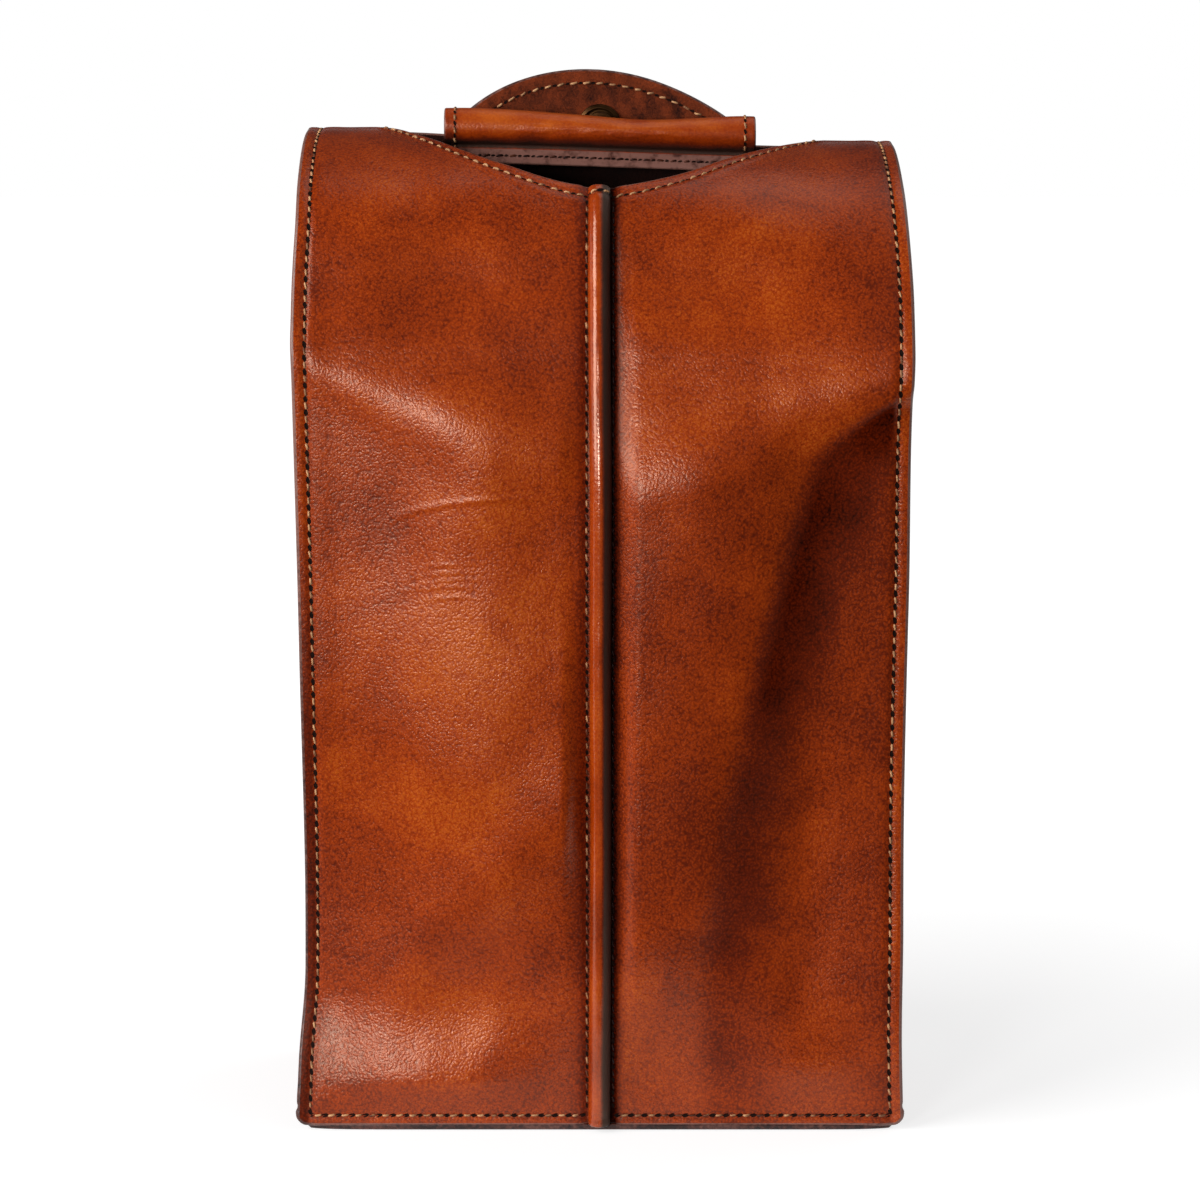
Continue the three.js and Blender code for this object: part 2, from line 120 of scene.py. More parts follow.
def ripple(u, v, wave, seed):
    """An uneven field between about -1 and 1, from crossing waves of about one length."""
    draw = np.random.default_rng(seed)
    total = 0
    for _ in range(9):
        angle, phase = draw.uniform(0, 2 * np.pi, 2)
        length = wave * draw.uniform(0.7, 1.5)
        total = total + np.cos(2 * np.pi * (u * np.cos(angle) + v * np.sin(angle)) / length + phase)
    return total / 4


def unit(vectors):
    return vectors / np.maximum(np.linalg.norm(vectors, axis=-1, keepdims=True), 1e-12)


def settle(points):
    """The used bag, with what is sewn to it: sunk at its right shoulder, drawn in at its left seam and
    swollen at its right seam."""
    sizes = settings()
    x, z = points[..., 0], points[..., 2]
    drop = sizes.right_drop * ease(z, 120 * MM, 330 * MM) * ease(x, -60 * MM, 90 * MM)
    draw = sizes.left_draw * ease(-x, 70 * MM, 100 * MM) * ease(z, 22 * MM, 55 * MM)
    draw = draw * (1 - ease(z, 300 * MM, 332 * MM))
    swell = sizes.right_swell * ease(x, 70 * MM, 100 * MM) * ease(z, 25 * MM, 70 * MM)
    swell = swell * (1 - ease(z, 180 * MM, 240 * MM))
    return points + np.stack([draw + swell, 0 * drop, -drop], -1)


def settings():
    return bpy.context.scene.carrier_sizes


def colours():
    return bpy.context.scene.carrier_colours


# Side profile of the bag and the skin of its front

# How far the forms of the used leather stand out or lie in, in millimetres
SEAM_DRAWN = 5                 # left side seam, drawn in under the shoulder
LEFT_BEND = 1.1                # fullness of the bend under the left shoulder, at the side
LEFT_BEND_MORE = 1.5           # and how much more towards the welt
RIGHT_BEND = 1.2               # fullness of the bend under the right shoulder
LEFT_MIDDLE = 4                # full middle of the left panel
LEFT_SLANT = 2.2               # slanting fold below it
LEFT_FOOT = 3.5                # bulge over the left foot
LEFT_FOOT_FALL = 4.4           # how far that bulge falls back above
SCAR = 0.3
SCRATCH = 0.15
RIGHT_MIDDLE = 5               # fullness of the right panel beside the welt
RIGHT_FOOT = 2                 # bulge over the right foot
RIGHT_FOOT_HOLLOW = 1.5        # hollow above that bulge
SEAM_GROOVE = 0.5              # the thread pulls the leather in along each seam
WELT_GROOVE = 0.7
NECK_GROOVE = 0.45
FOOT_GROOVE = 0.4
BACK_GROOVE = 0.35
CROWN = 1.1                    # the roof's left end stands up
BACK_CROWN = 1.8               # so does the back panel behind it

# Half width of the groove along a seam
GROOVE_HALF = 1.2 * MM

# How steeply the leather leaves the plain profile
BEND_SLOPE = 0.3               # above the bend
FALL_SLOPE = 0.38              # behind the right crease
CORNER_SLOPE = 0.13            # towards the lower left corner

# Direction of the left panel's slanting fold: fall for each step outward, and the length of that step
SLANT_SLOPE = 0.93
SLANT_STEP = 1.37

# Shares of the width by which the bag is drawn in, above its base and towards its crest
MIDDLE_DRAW = 0.019
CREST_DRAW = 0.018

# Height of the bend at the welt, and how much higher it runs at either side, in millimetres
BEND_AT_WELT = 231
BEND_RISE_LEFT = 31
BEND_RISE_RIGHT = 29.5


def profile_table():
    """Length, y and z along the side profile: upright front, elliptical roof, level end."""
    angle = np.linspace(np.pi, np.pi / 2, 400)
    centre_y = BACK_Y - ROOF_FLAT
    roof_y = centre_y + (centre_y - FRONT_Y) * np.cos(angle)
    roof_z = SHOULDER + (CREST - SHOULDER) * np.sin(angle)
    y = np.concatenate([[FRONT_Y], roof_y, [BACK_Y]])
    z = np.concatenate([[SEWN_LOW], roof_z, [CREST]])
    length = np.concatenate([[0], np.cumsum(np.hypot(np.diff(y), np.diff(z)))])
    return length, y, z


PROFILE_S, PROFILE_Y, PROFILE_Z = profile_table()
PROFILE_LENGTH = PROFILE_S[-1]


def profile(s):
    """Place (y, z) and outward direction (y, z) on the side profile, at length s from its foot."""
    step = 0.5 * MM
    y, z = np.interp(s, PROFILE_S, PROFILE_Y), np.interp(s, PROFILE_S, PROFILE_Z)
    dy = np.interp(s + step, PROFILE_S, PROFILE_Y) - np.interp(s - step, PROFILE_S, PROFILE_Y)
    dz = np.interp(s + step, PROFILE_S, PROFILE_Z) - np.interp(s - step, PROFILE_S, PROFILE_Z)
    size = np.hypot(dy, dz)
    return y, z, -dz / size, dy / size


def waist(z):
    """Share of the full width at height z: pulled in above the base and towards the crest."""
    share = np.clip(z / SHOULDER, 0, 1)
    middle, crest = np.sin(np.pi * share ** 0.7), ease(z, SHOULDER + 20 * MM, CREST)
    return 1 - MIDDLE_DRAW * middle - CREST_DRAW * crest


def neck_length(x):
    """Length up the profile at which the neckline crosses column x."""
    share = np.minimum(np.abs(x) / NECK_HALF, 1)
    neck_y = NECK_FRONT + (BACK_Y - NECK_FRONT) * share ** 2
    return np.interp(neck_y, PROFILE_Y[1:], PROFILE_S[1:])


def ridge_height(x):
    """Height of the bend under the shoulder, lower at the welt than at the sides."""
    across = np.abs(x) / (100 * MM)
    rise = np.where(x < 0, BEND_RISE_LEFT * across ** 1.5, BEND_RISE_RIGHT * across ** 1.1)
    return (BEND_AT_WELT + rise) * MM


def crease_column(h):
    """Column of the right panel's crease at height h: upright below, turning outward under the bend."""
    slant = 36 * np.clip((h - 40 * MM) / (190 * MM), 0, 1.3) ** 1.5
    turn = 25 * np.clip((h - 226 * MM) / (25 * MM), 0, 1.6) ** 1.8
    return (33 + slant + turn) * MM


def softened(distance, soft):
    """The distance where it is positive, else 0, with a rounded corner."""
    return soft * np.logaddexp(0, distance / soft)


def seam_shift(x, h):
    """How far the side seams have moved with the leather, in millimetres: drawn in at the bend on the
    left, fallen behind the crease on the right."""
    ridge = ridge_height(x)
    drawn = SEAM_DRAWN * ease(-x, 35 * MM, 98 * MM) * ease(h, 10 * MM, 200 * MM)
    drawn = drawn * (1 - ease(h, 275 * MM, 322 * MM))
    corner = CORNER_SLOPE * softened(-x - 35 * MM, 8 * MM) / MM * ease(h, 6 * MM, 48 * MM)
    corner = corner * (1 - ease(h, 70 * MM, 160 * MM))
    reach = (4 + 12 * ease(h, 40 * MM, 120 * MM)) * MM
    fall = FALL_SLOPE * reach / MM * (1 - np.exp(-softened(x - crease_column(h), 2.5 * MM) / reach))
    fall = fall * ease(h, 15 * MM, 60 * MM) * ease(ridge - h, -8 * MM, 14 * MM)
    return -lean_back(x, h) - drawn - corner - fall


def lean_back(x, h):
    """How far the leather above the bend leans back towards the roof, in millimetres."""
    a, ridge = np.abs(x), ridge_height(x)
    wide = 1 - ease(a, 35 * MM, 92 * MM)
    soft = (5.5 + 3.5 * wide) * MM
    run = (18 + 20 * wide) * MM
    back = BEND_SLOPE * (softened(h - ridge, soft) - softened(h - ridge - run, 10 * MM)) / MM
    shelf = np.where(x < 0, LEFT_BEND + LEFT_BEND_MORE * wide, RIGHT_BEND) * ease(a, 3 * MM, 14 * MM)
    shelf = shelf * hump(h, ridge - 2 * MM, (9 + 10 * wide) * MM)
    return back * (1 - ease(h, 285 * MM, 330 * MM)) - shelf


def folds(x, s):
    """How far the front leather stands out of the plain profile, in metres."""
    a, h = np.abs(x), s + SEWN_LOW
    ridge = ridge_height(x)
    panel = ease(a, 4 * MM, 13 * MM) * (1 - ease(a, 58 * MM, 100 * MM)) * ease(h, 4 * MM, 18 * MM)
    main = np.where(x < 0, left_folds(a, h), right_folds(a, h, ridge))
    uneven = 0.5 * ripple(x, s, 60 * MM, 3) + 0.12 * ripple(x, s, 21 * MM, 4)
    side = 0.1 * hump(a, 93.5 * MM, 3 * MM) - SEAM_GROOVE * hump(a, HALF_WIDTH - SEAM_INSET, GROOVE_HALF)
    welt = -WELT_GROOVE * hump(a, 4.3 * MM, 1.6 * MM)
    border = neck_length(x) - s
    neck = 0.3 * hump(border, 7.5 * MM, 2 * MM) - NECK_GROOVE * hump(border, SEAM_INSET, GROOVE_HALF)
    crown = CROWN * ease(h, 335 * MM, 380 * MM) * ease(-x, 40 * MM, 85 * MM)
    foot = -FOOT_GROOVE * hump(h, 5 * MM, GROOVE_HALF)
    return (panel * (main + uneven) + seam_shift(x, h) + side + welt + neck + crown + foot) * MM


# Fine scratches in the left panel, in millimetres: from and to this far from the welt, height at either end
SCRATCHES = (
    (44, 67, 190.3, 186.5),
    (43, 70, 188, 182),
    (44, 63, 185.6, 183.6),
    (44, 56, 182, 181.2),
    (47, 61, 193, 190.5),
)


def left_folds(a, h):
    """The left panel: a full middle, a slanting fold below it, a bulge over the foot, a scar, scratches."""
    middle = LEFT_MIDDLE * hump(a, 24 * MM, 34 * MM) * hump(h, 126 * MM, 50 * MM)
    above_fold = (h - 93 * MM + SLANT_SLOPE * (a - 27 * MM)) / SLANT_STEP
    slant = LEFT_SLANT * hump(above_fold, 0, 16 * MM) * (1 - ease(a, 60 * MM, 92 * MM))
    rise = np.clip(softened(h - 20 * MM, 3 * MM) / (34 * MM), 0, 1)
    sunk = LEFT_FOOT_FALL * (1 - 0.5 * ease(a, 60 * MM, 95 * MM)) * (1 - (1 - rise) ** 2)
    foot = ease(a, 8 * MM, 50 * MM) * (LEFT_FOOT - sunk) * (1 - ease(h, 55 * MM, 135 * MM))
    along = ease(a, 16 * MM, 30 * MM) * (1 - ease(a, 64 * MM, 73 * MM))
    marks = SCAR * hump(h, (215 - 9 * (a / (72 * MM)) ** 4) * MM, 0.65 * MM) * along
    for low, high, first, last in SCRATCHES:
        line = first + (last - first) * ((a / MM - low) / (high - low)) ** 2
        along = hump(a, (low + high) / 2 * MM, (high - low) / 2 * MM)
        marks = marks + SCRATCH * hump(h, line * MM, 0.5 * MM) * along
    return middle + slant + foot + marks


def right_folds(a, h, ridge):
    """The right panel: full beside the welt and falling outward, with a small bulge over the foot."""
    below = ease(h, 12 * MM, 80 * MM) * (1 - 0.8 * ease(h, ridge - 22 * MM, ridge + 6 * MM))
    full = RIGHT_MIDDLE * (1 - ((a - 22 * MM) / (45 * MM)) ** 2) * (1 - ease(a, 50 * MM, 90 * MM))
    foot = RIGHT_FOOT * hump(h, 20 * MM, 11 * MM) - RIGHT_FOOT_HOLLOW * hump(h, 62 * MM, 20 * MM)
    return full * below + foot * ease(a, 30 * MM, 80 * MM)


def corner_lift(a, s):
    """How far the rounded lower corners of the flanges stand above the foot."""
    radius = 4 * MM
    over = np.clip(a - HALF_WIDTH + radius, 0, radius)
    return (radius - np.sqrt(radius ** 2 - over ** 2)) * (1 - ease(s, 0, 15 * MM))


def front_skin(x, s, depth=0.0):
    """Points of the front leather's face, moved inward by depth."""
    y, z, out_y, out_z = profile(s)
    z = z + corner_lift(np.abs(x), s)
    lift = folds(x, s) - depth
    return settle(np.stack([x * waist(z), y + out_y * lift, z + out_z * lift], -1))


# Mesh makers

def new_object(name, points, faces, materials, face_materials=None, stain_and_painted_light=None):
    """A smooth mesh object with its materials and, where given, a value at each point of stain, painted
    shade and painted light.
    """
    mesh = bpy.data.meshes.new(name)
    mesh.from_pydata(points.tolist(), [], faces if isinstance(faces, list) else faces.tolist())
    for finish in materials:
        mesh.materials.append(finish)
    if face_materials is not None:
        mesh.polygons.foreach_set("material_index", np.asarray(face_materials, np.int32))
    mesh.polygons.foreach_set("use_smooth", np.ones(len(mesh.polygons), bool))
    values = np.zeros(len(points)) if stain_and_painted_light is None else stain_and_painted_light
    mesh.attributes.new("stain_and_painted_light", "FLOAT", "POINT").data.foreach_set("value", values.astype(np.float32))
    mesh.update()
    piece = bpy.data.objects.new(name, mesh)
    bpy.context.scene.collection.objects.link(piece)
    return piece


def grid_normals(grid):
    return unit(np.cross(np.gradient(grid, axis=0), np.gradient(grid, axis=1)))


def leather_sheet(name, grid, outward, thickness, materials, stain_and_painted_light, rim=0.3):
    """A sheet of leather with a round burnished edge, which stands out by the rim's share of its
    thickness. The grid is its face, which looks outward. Materials are those of the face, the edge and
    the flesh side."""
    normals = grid_normals(grid)
    if np.mean(normals @ np.asarray(outward, float)) < 0:
        grid = grid[::-1]
        normals = -normals[::-1]
        stain_and_painted_light = stain_and_painted_light[::-1]
        thickness = thickness[::-1] if np.ndim(thickness) else thickness
    rows, columns = grid.shape[:2]
    thick = np.broadcast_to(np.asarray(thickness, float), (rows, columns))
    index = np.arange(rows * columns).reshape(rows, columns)
    back = grid - normals * thick[..., None]
    loop = np.concatenate([index[:, 0], index[-1, 1:], index[-2::-1, -1], index[0, -2:0:-1]])
    face_loop, normal_loop = grid.reshape(-1, 3)[loop], normals.reshape(-1, 3)[loop]
    thick_loop = thick.reshape(-1)[loop][:, None]
    along = unit(np.roll(face_loop, -1, 0) - np.roll(face_loop, 1, 0))
    out = unit(np.cross(along, normal_loop))
    steps = 5
    rings = []
    half_loop, out_loop = normal_loop * thick_loop / 2, out * thick_loop * rim
    for k in range(1, steps):
        angle = np.pi * k / steps
        rings.append(face_loop - half_loop + half_loop * np.cos(angle) + out_loop * np.sin(angle))
    points = np.concatenate([grid.reshape(-1, 3), back.reshape(-1, 3), *rings])
    quads = np.stack([index[:-1, :-1], index[1:, :-1], index[1:, 1:], index[:-1, 1:]], -1).reshape(-1, 4)
    loops = [loop] + [2 * rows * columns + k * len(loop) + np.arange(len(loop)) for k in range(steps - 1)]
    loops.append(loop + rows * columns)
    edge = [np.stack([a, np.roll(a, -1), np.roll(b, -1), b], -1)[:, ::-1] for a, b in zip(loops, loops[1:])]
    faces = np.concatenate([quads, quads[:, ::-1] + rows * columns, *edge])
    kinds = np.repeat([0, 2, 1], [len(quads), len(quads), sum(map(len, edge))])
    tone = stain_and_painted_light.reshape(-1)
    tone = np.concatenate([tone, tone, np.tile(tone[loop], steps - 1)])
    return new_object(name, points, faces, materials, kinds, tone)


def turned(name, pairs, centre, finish, segments=48):
    """A turned piece, its axis along Y, from [radius, height] pairs that start and end on the axis."""
    pairs = np.asarray(pairs, float) * MM
    angle = np.linspace(0, 2 * np.pi, segments, endpoint=False)
    inner = pairs[1:-1]
    rings = np.stack([inner[:, :1] * np.cos(angle), np.repeat(inner[:, 1:], segments, 1),
                      inner[:, :1] * np.sin(angle)], -1)
    ends = np.array([[0, pairs[0, 1], 0], [0, pairs[-1, 1], 0]])
    points = settle(np.concatenate([rings.reshape(-1, 3), ends]) + np.asarray(centre))
    index = np.arange(len(inner) * segments).reshape(len(inner), segments)
    nxt = np.roll(index, -1, 1)
    faces = np.stack([index[:-1], index[1:], nxt[1:], nxt[:-1]], -1).reshape(-1, 4).tolist()
    faces += [[a, b, index.size] for a, b in zip(index[0], nxt[0])]
    faces += [[b, a, index.size + 1] for a, b in zip(index[-1], nxt[-1])]
    return new_object(name, points, faces, [finish])


def rounded(pairs, radius=0.25, steps=4):
    """Pairs with each inner corner rounded, for a metal edge that catches light."""
    pairs = np.asarray(pairs, float)
    result = [pairs[0]]
    for before, corner, after in zip(pairs, pairs[1:], pairs[2:]):
        reach = min(radius, np.linalg.norm(before - corner) / 2.1, np.linalg.norm(after - corner) / 2.1)
        start = corner + unit(before - corner) * reach
        end = corner + unit(after - corner) * reach
        for t in np.linspace(0, 1, steps):
            result.append((1 - t) ** 2 * start + 2 * t * (1 - t) * corner + t ** 2 * end)
    return np.array(result + [pairs[-1]])


# Degrees by which hand sewing turns a stitch and its awl slit out of the line of the seam
STITCH_TURN = 9
SLIT_TURN = 14


def stitch_shape():
    """One thread stitch along its first axis, arched over the leather, with blunt ends."""
    along = np.array([-1, -0.93, -0.7, -0.35, 0, 0.35, 0.7, 0.93, 1])
    swell = np.array([0.45, 0.75, 0.95, 1, 1, 1, 0.95, 0.75, 0.45])[:, None]
    arch = (0.75 - 1.15 * np.abs(along) ** 3)[:, None]
    sides = 8
    angle = np.linspace(0, 2 * np.pi, sides, endpoint=False)
    rings = np.stack([along[:, None] + 0 * angle, swell * np.cos(angle), arch + swell * np.sin(angle)], -1)
    index = np.arange(len(along) * sides).reshape(len(along), sides)
    following = np.roll(index, -1, 1)
    walls = np.stack([index[:-1], following[:-1], following[1:], index[1:]], -1).reshape(-1, 4)
    faces = walls[:, ::-1].tolist() + [index[0].tolist(), index[-1][::-1].tolist()]
    return rings.reshape(-1, 3), faces


def slit_shape():
    """A slit as a shallow dish over the groove of its seam: length, width, and height in millimetres."""
    sides = 12
    angle = np.linspace(0, 2 * np.pi, sides, endpoint=False)
    rim = np.stack([np.cos(angle), np.sin(angle), 0.17 * np.sin(angle) ** 2], -1)
    return np.concatenate([rim, [[0, 0, 0]]]), [[k, (k + 1) % sides, sides] for k in range(sides)]


def sew(name, body, points, normals, seed, soil=0.0, slits=1.0):
    """A row of stitches along a path on the leather, with slits of a share of the full size and thread
    darkened by soil, which on the row in the welt's shadow also stands for painted shade. It rides on the
    body that it is sewn to."""
    sizes = settings()
    lengths = np.concatenate([[0], np.cumsum(np.linalg.norm(np.diff(points, axis=0), axis=1))])
    count = max(1, int(round(lengths[-1] / sizes.stitch_pitch)))
    places = (np.arange(count) + 0.5) * lengths[-1] / count

    def at(values, t):
        return np.stack([np.interp(t, lengths, values[:, k]) for k in range(3)], -1)

    draw = np.random.default_rng(seed)
    step = 0.3 * sizes.stitch_pitch
    up = unit(at(normals, places))
    forward = unit(at(points, places + step) - at(points, places - step))
    across = unit(np.cross(up, forward))
    turn = np.radians(STITCH_TURN + draw.normal(0, 4, count))[:, None]
    half = 0.5 * sizes.stitch_length * (1 + draw.normal(0, 0.07, count))[:, None, None]
    radius = 0.5 * sizes.thread_width * (1 + draw.normal(0, 0.06, count))[:, None, None]
    ahead = forward * np.cos(turn) + across * np.sin(turn)
    beside = np.cross(up, ahead)
    middle = at(points, places)
    shape, walls = stitch_shape()
    thread = (middle[:, None] + shape[None, :, :1] * half * ahead[:, None]
              + shape[None, :, 1:2] * radius * beside[:, None] + shape[None, :, 2:] * radius * up[:, None])
    slit, fan = slit_shape()
    knots = np.arange(count + 1) * lengths[-1] / count
    up_knot = unit(at(normals, knots))
    ahead_knot = unit(at(points, knots + step) - at(points, knots - step))
    side_knot = np.cross(up_knot, ahead_knot)
    tilt = np.radians(SLIT_TURN)
    long_way = ahead_knot * np.cos(tilt) + side_knot * np.sin(tilt)
    hole = (at(points, knots)[:, None] + up_knot[:, None] * (0.05 + slit[None, :, 2:]) * MM
            + slit[None, :, :1] * slits * sizes.slit_length / 2 * long_way[:, None]
            + slit[None, :, 1:2] * slits * sizes.slit_width / 2 * np.cross(up_knot, long_way)[:, None])
    faces = [[corner + k * len(shape) for corner in wall] for k in range(count) for wall in walls]
    start = count * len(shape)
    faces += [[corner + start + k * len(slit) for corner in leaf] for k in range(count + 1) for leaf in fan]
    kinds = [0] * (count * len(walls)) + [1] * ((count + 1) * len(fan))
    every = np.concatenate([thread.reshape(-1, 3), hole.reshape(-1, 3)])
    finishes = [bpy.data.materials["waxed_linen_thread"], bpy.data.materials["awl_slit"]]
    piece = new_object(name, every, faces, finishes, kinds, soil + np.zeros(len(every)))
    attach(piece, body)


def path_on(skin, u, v, flip=1):
    """Points and outward normals along a path u, v on a skin function."""
    step = 0.4 * MM
    du = skin(u + step, v) - skin(u - step, v)
    dv = skin(u, v + step) - skin(u, v - step)
    return skin(u, v), flip * unit(np.cross(du, dv))


def dress(piece, body, slot, *nodes):
    """The piece rides on a body and stands for CAD nodes. The slot is not used."""
    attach(piece, body)
    if nodes:
        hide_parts(*nodes)


# Materials

def add(tree, kind, inputs=None, stops=(), **setup):
    """A new node with its settings, the stops of its colours, and its inputs linked or set."""
    made = tree.nodes.new(kind)
    for key, value in setup.items():
        setattr(made, key, value)
    if stops:
        line = made.color_ramp.elements
        while len(line) < len(stops):
            line.new(0.5)
        for element, (place, colour) in zip(line, stops):
            element.position = place
            element.color = (*colour, 1)
    for key, value in (inputs or {}).items():
        if isinstance(value, bpy.types.NodeSocket):
            tree.links.new(value, made.inputs[key])
        else:
            made.inputs[key].default_value = value
    return made


def start_material(name):
    made = bpy.data.materials.new(name)
    made.use_nodes = True
    made.node_tree.nodes.clear()
    return made, made.node_tree


def close_material(made, tree, inputs):
    shader = add(tree, "ShaderNodeBsdfPrincipled", inputs)
    add(tree, "ShaderNodeOutputMaterial", {"Surface": shader.outputs["BSDF"]})
    return made


def polished_leather():
    """The same hide where it is stretched over the welt: smooth, with a keen narrow shine."""
    return stained_leather("polished_hide", grain=0.16, gloss=0.1, shine=1.0, speckle=0.1, dulled=0)


def handled_leather():
    """The same hide where the hand holds it: worn smooth, with a broad soft shine."""
    return stained_leather("handled_hide", grain=0.2, gloss=0.24, shine=0.6, speckle=0.1, dulled=0)


# How much the clouds, and the attribute of stain, painted shade and painted light, move the hide's tone
# from its middle
CLOUD_TONE = 0.44
STAIN_AND_PAINTED_LIGHT_TONE = -0.55
MIDDLE_TONE = 0.28

# Pooled stain dries rough, and the wax over it gives the shine a warm tint
STAIN_ROUGHNESS = 0.45
WARM_SHINE = (*linear("#ffd9c0"), 1)


def stained_leather(name="hand_stained_hide", grain=0.36, gloss=0.18, shine=0.55, speckle=0.22,
                    dulled=1.0):
    """Vegetable-tanned hide, stained by hand and waxed: cloudy red-brown, purple and dull where the
    stain pooled and where shade is painted, worn orange where handling wore it and where light is painted,
    with a pebbled grain that breaks up the gloss.
    The pebbles are a little coarser than the hide's own, so that they show in the render."""
    made, tree = start_material(name)
    tones = colours()
    place = add(tree, "ShaderNodeTexCoord").outputs["Object"]
    clouds = add(tree, "ShaderNodeTexNoise", {
        "Vector": place, "Scale": 1 / (30 * MM), "Detail": 5, "Roughness": 0.6, "Distortion": 0.5})
    mottle = add(tree, "ShaderNodeTexNoise", {
        "Vector": place, "Scale": 1 / (0.6 * MM), "Detail": 3, "Roughness": 0.6})
    bend = add(tree, "ShaderNodeTexNoise", {"Vector": place, "Scale": 1 / (2.5 * MM), "Detail": 2})
    shift = add(tree, "ShaderNodeVectorMath", {0: bend.outputs["Color"], 1: (1.6 * MM,) * 3},
                operation="MULTIPLY")
    moved = add(tree, "ShaderNodeVectorMath", {0: place, 1: shift.outputs[0]}, operation="ADD")
    pebbles = add(tree, "ShaderNodeTexVoronoi", {
        "Vector": moved.outputs[0], "Scale": 1 / (0.8 * MM), "Randomness": 1}, feature="SMOOTH_F1")
    pebble = add(tree, "ShaderNodeMapRange", {
        "Value": pebbles.outputs["Distance"], "From Min": 0.15, "From Max": 0.75, "To Min": 1, "To Max": 0})
    stain_and_painted_light = add(tree, "ShaderNodeAttribute", attribute_name="stain_and_painted_light", attribute_type="GEOMETRY")
    tone = add(tree, "ShaderNodeMath", {
        0: clouds.outputs["Fac"], 1: CLOUD_TONE, 2: MIDDLE_TONE - speckle}, operation="MULTIPLY_ADD")
    tone = add(tree, "ShaderNodeMath", {0: mottle.outputs["Fac"], 1: speckle, 2: tone.outputs[0]},
               operation="MULTIPLY_ADD")
    tone = add(tree, "ShaderNodeMath", {0: pebble.outputs[0], 1: speckle, 2: tone.outputs[0]},
               operation="MULTIPLY_ADD")
    tone = add(tree, "ShaderNodeMath", {0: stain_and_painted_light.outputs["Fac"], 1: STAIN_AND_PAINTED_LIGHT_TONE, 2: tone.outputs[0]},
               operation="MULTIPLY_ADD")
    colour = add(tree, "ShaderNodeValToRGB", {"Fac": tone.outputs[0]}, stops=[
        (0.08, tones.pooled_stain), (0.36, tones.deep_stain), (0.56, tones.red_brown),
        (0.78, tones.worn_orange)]).outputs["Color"]
    fine = add(tree, "ShaderNodeTexNoise", {
        "Vector": place, "Scale": 1 / (0.7 * MM), "Detail": 3, "Roughness": 0.6})
    height = add(tree, "ShaderNodeMath", {0: fine.outputs["Fac"], 1: 0.5, 2: pebble.outputs[0]},
                 operation="MULTIPLY_ADD")
    bump = add(tree, "ShaderNodeBump", {
        "Height": height.outputs[0], "Strength": grain, "Distance": 0.19 * MM})
    rough = add(tree, "ShaderNodeMath", {0: mottle.outputs["Fac"], 1: 0.2, 2: gloss},
                operation="MULTIPLY_ADD")
    pooled = add(tree, "ShaderNodeMath", {0: stain_and_painted_light.outputs["Fac"], 1: 0.0}, operation="MAXIMUM")
    rough = add(tree, "ShaderNodeMath", {0: pooled.outputs[0], 1: STAIN_ROUGHNESS, 2: rough.outputs[0]},
                operation="MULTIPLY_ADD")
    level = shine
    if dulled:
        level = add(tree, "ShaderNodeMath", {0: pooled.outputs[0], 1: -dulled, 2: shine},
                    operation="MULTIPLY_ADD", use_clamp=True).outputs[0]
    return close_material(made, tree, {
        "Base Color": colour, "Roughness": rough.outputs[0], "Normal": bump.outputs[0],
        "Specular IOR Level": level, "Specular Tint": WARM_SHINE})


def burnished_edge():
    """Cut edge of the hide, dyed dark and rubbed smooth: purple-brown, with fine layers along it."""
    made, tree = start_material("burnished_edge")
    tones = colours()
    place = add(tree, "ShaderNodeTexCoord").outputs["Object"]
    fibres = add(tree, "ShaderNodeTexNoise", {
        "Vector": place, "Scale": 1 / (1.6 * MM), "Detail": 4, "Roughness": 0.6})
    stain_and_painted_light = add(tree, "ShaderNodeAttribute", attribute_name="stain_and_painted_light", attribute_type="GEOMETRY")
    tone = add(tree, "ShaderNodeMath", {0: stain_and_painted_light.outputs["Fac"], 1: -0.8, 2: fibres.outputs["Fac"]},
               operation="MULTIPLY_ADD")
    colour = add(tree, "ShaderNodeValToRGB", {"Fac": tone.outputs[0]}, stops=[
        (0.0, tones.pooled_stain), (0.2, tones.edge_dark), (0.5, tones.edge_light)]).outputs["Color"]
    bump = add(tree, "ShaderNodeBump", {
        "Height": fibres.outputs["Fac"], "Strength": 0.25, "Distance": 0.2 * MM})
    return close_material(made, tree, {
        "Base Color": colour, "Roughness": 0.34, "Normal": bump.outputs[0], "Specular IOR Level": 0.4})


def brushed_side():
    """The flesh side rubbed smooth on the tab's lining: redder, streaky, paler at its border."""
    tones = colours()
    return flesh_side("brushed_hide", tones.brushed_dark, tones.brushed_light)


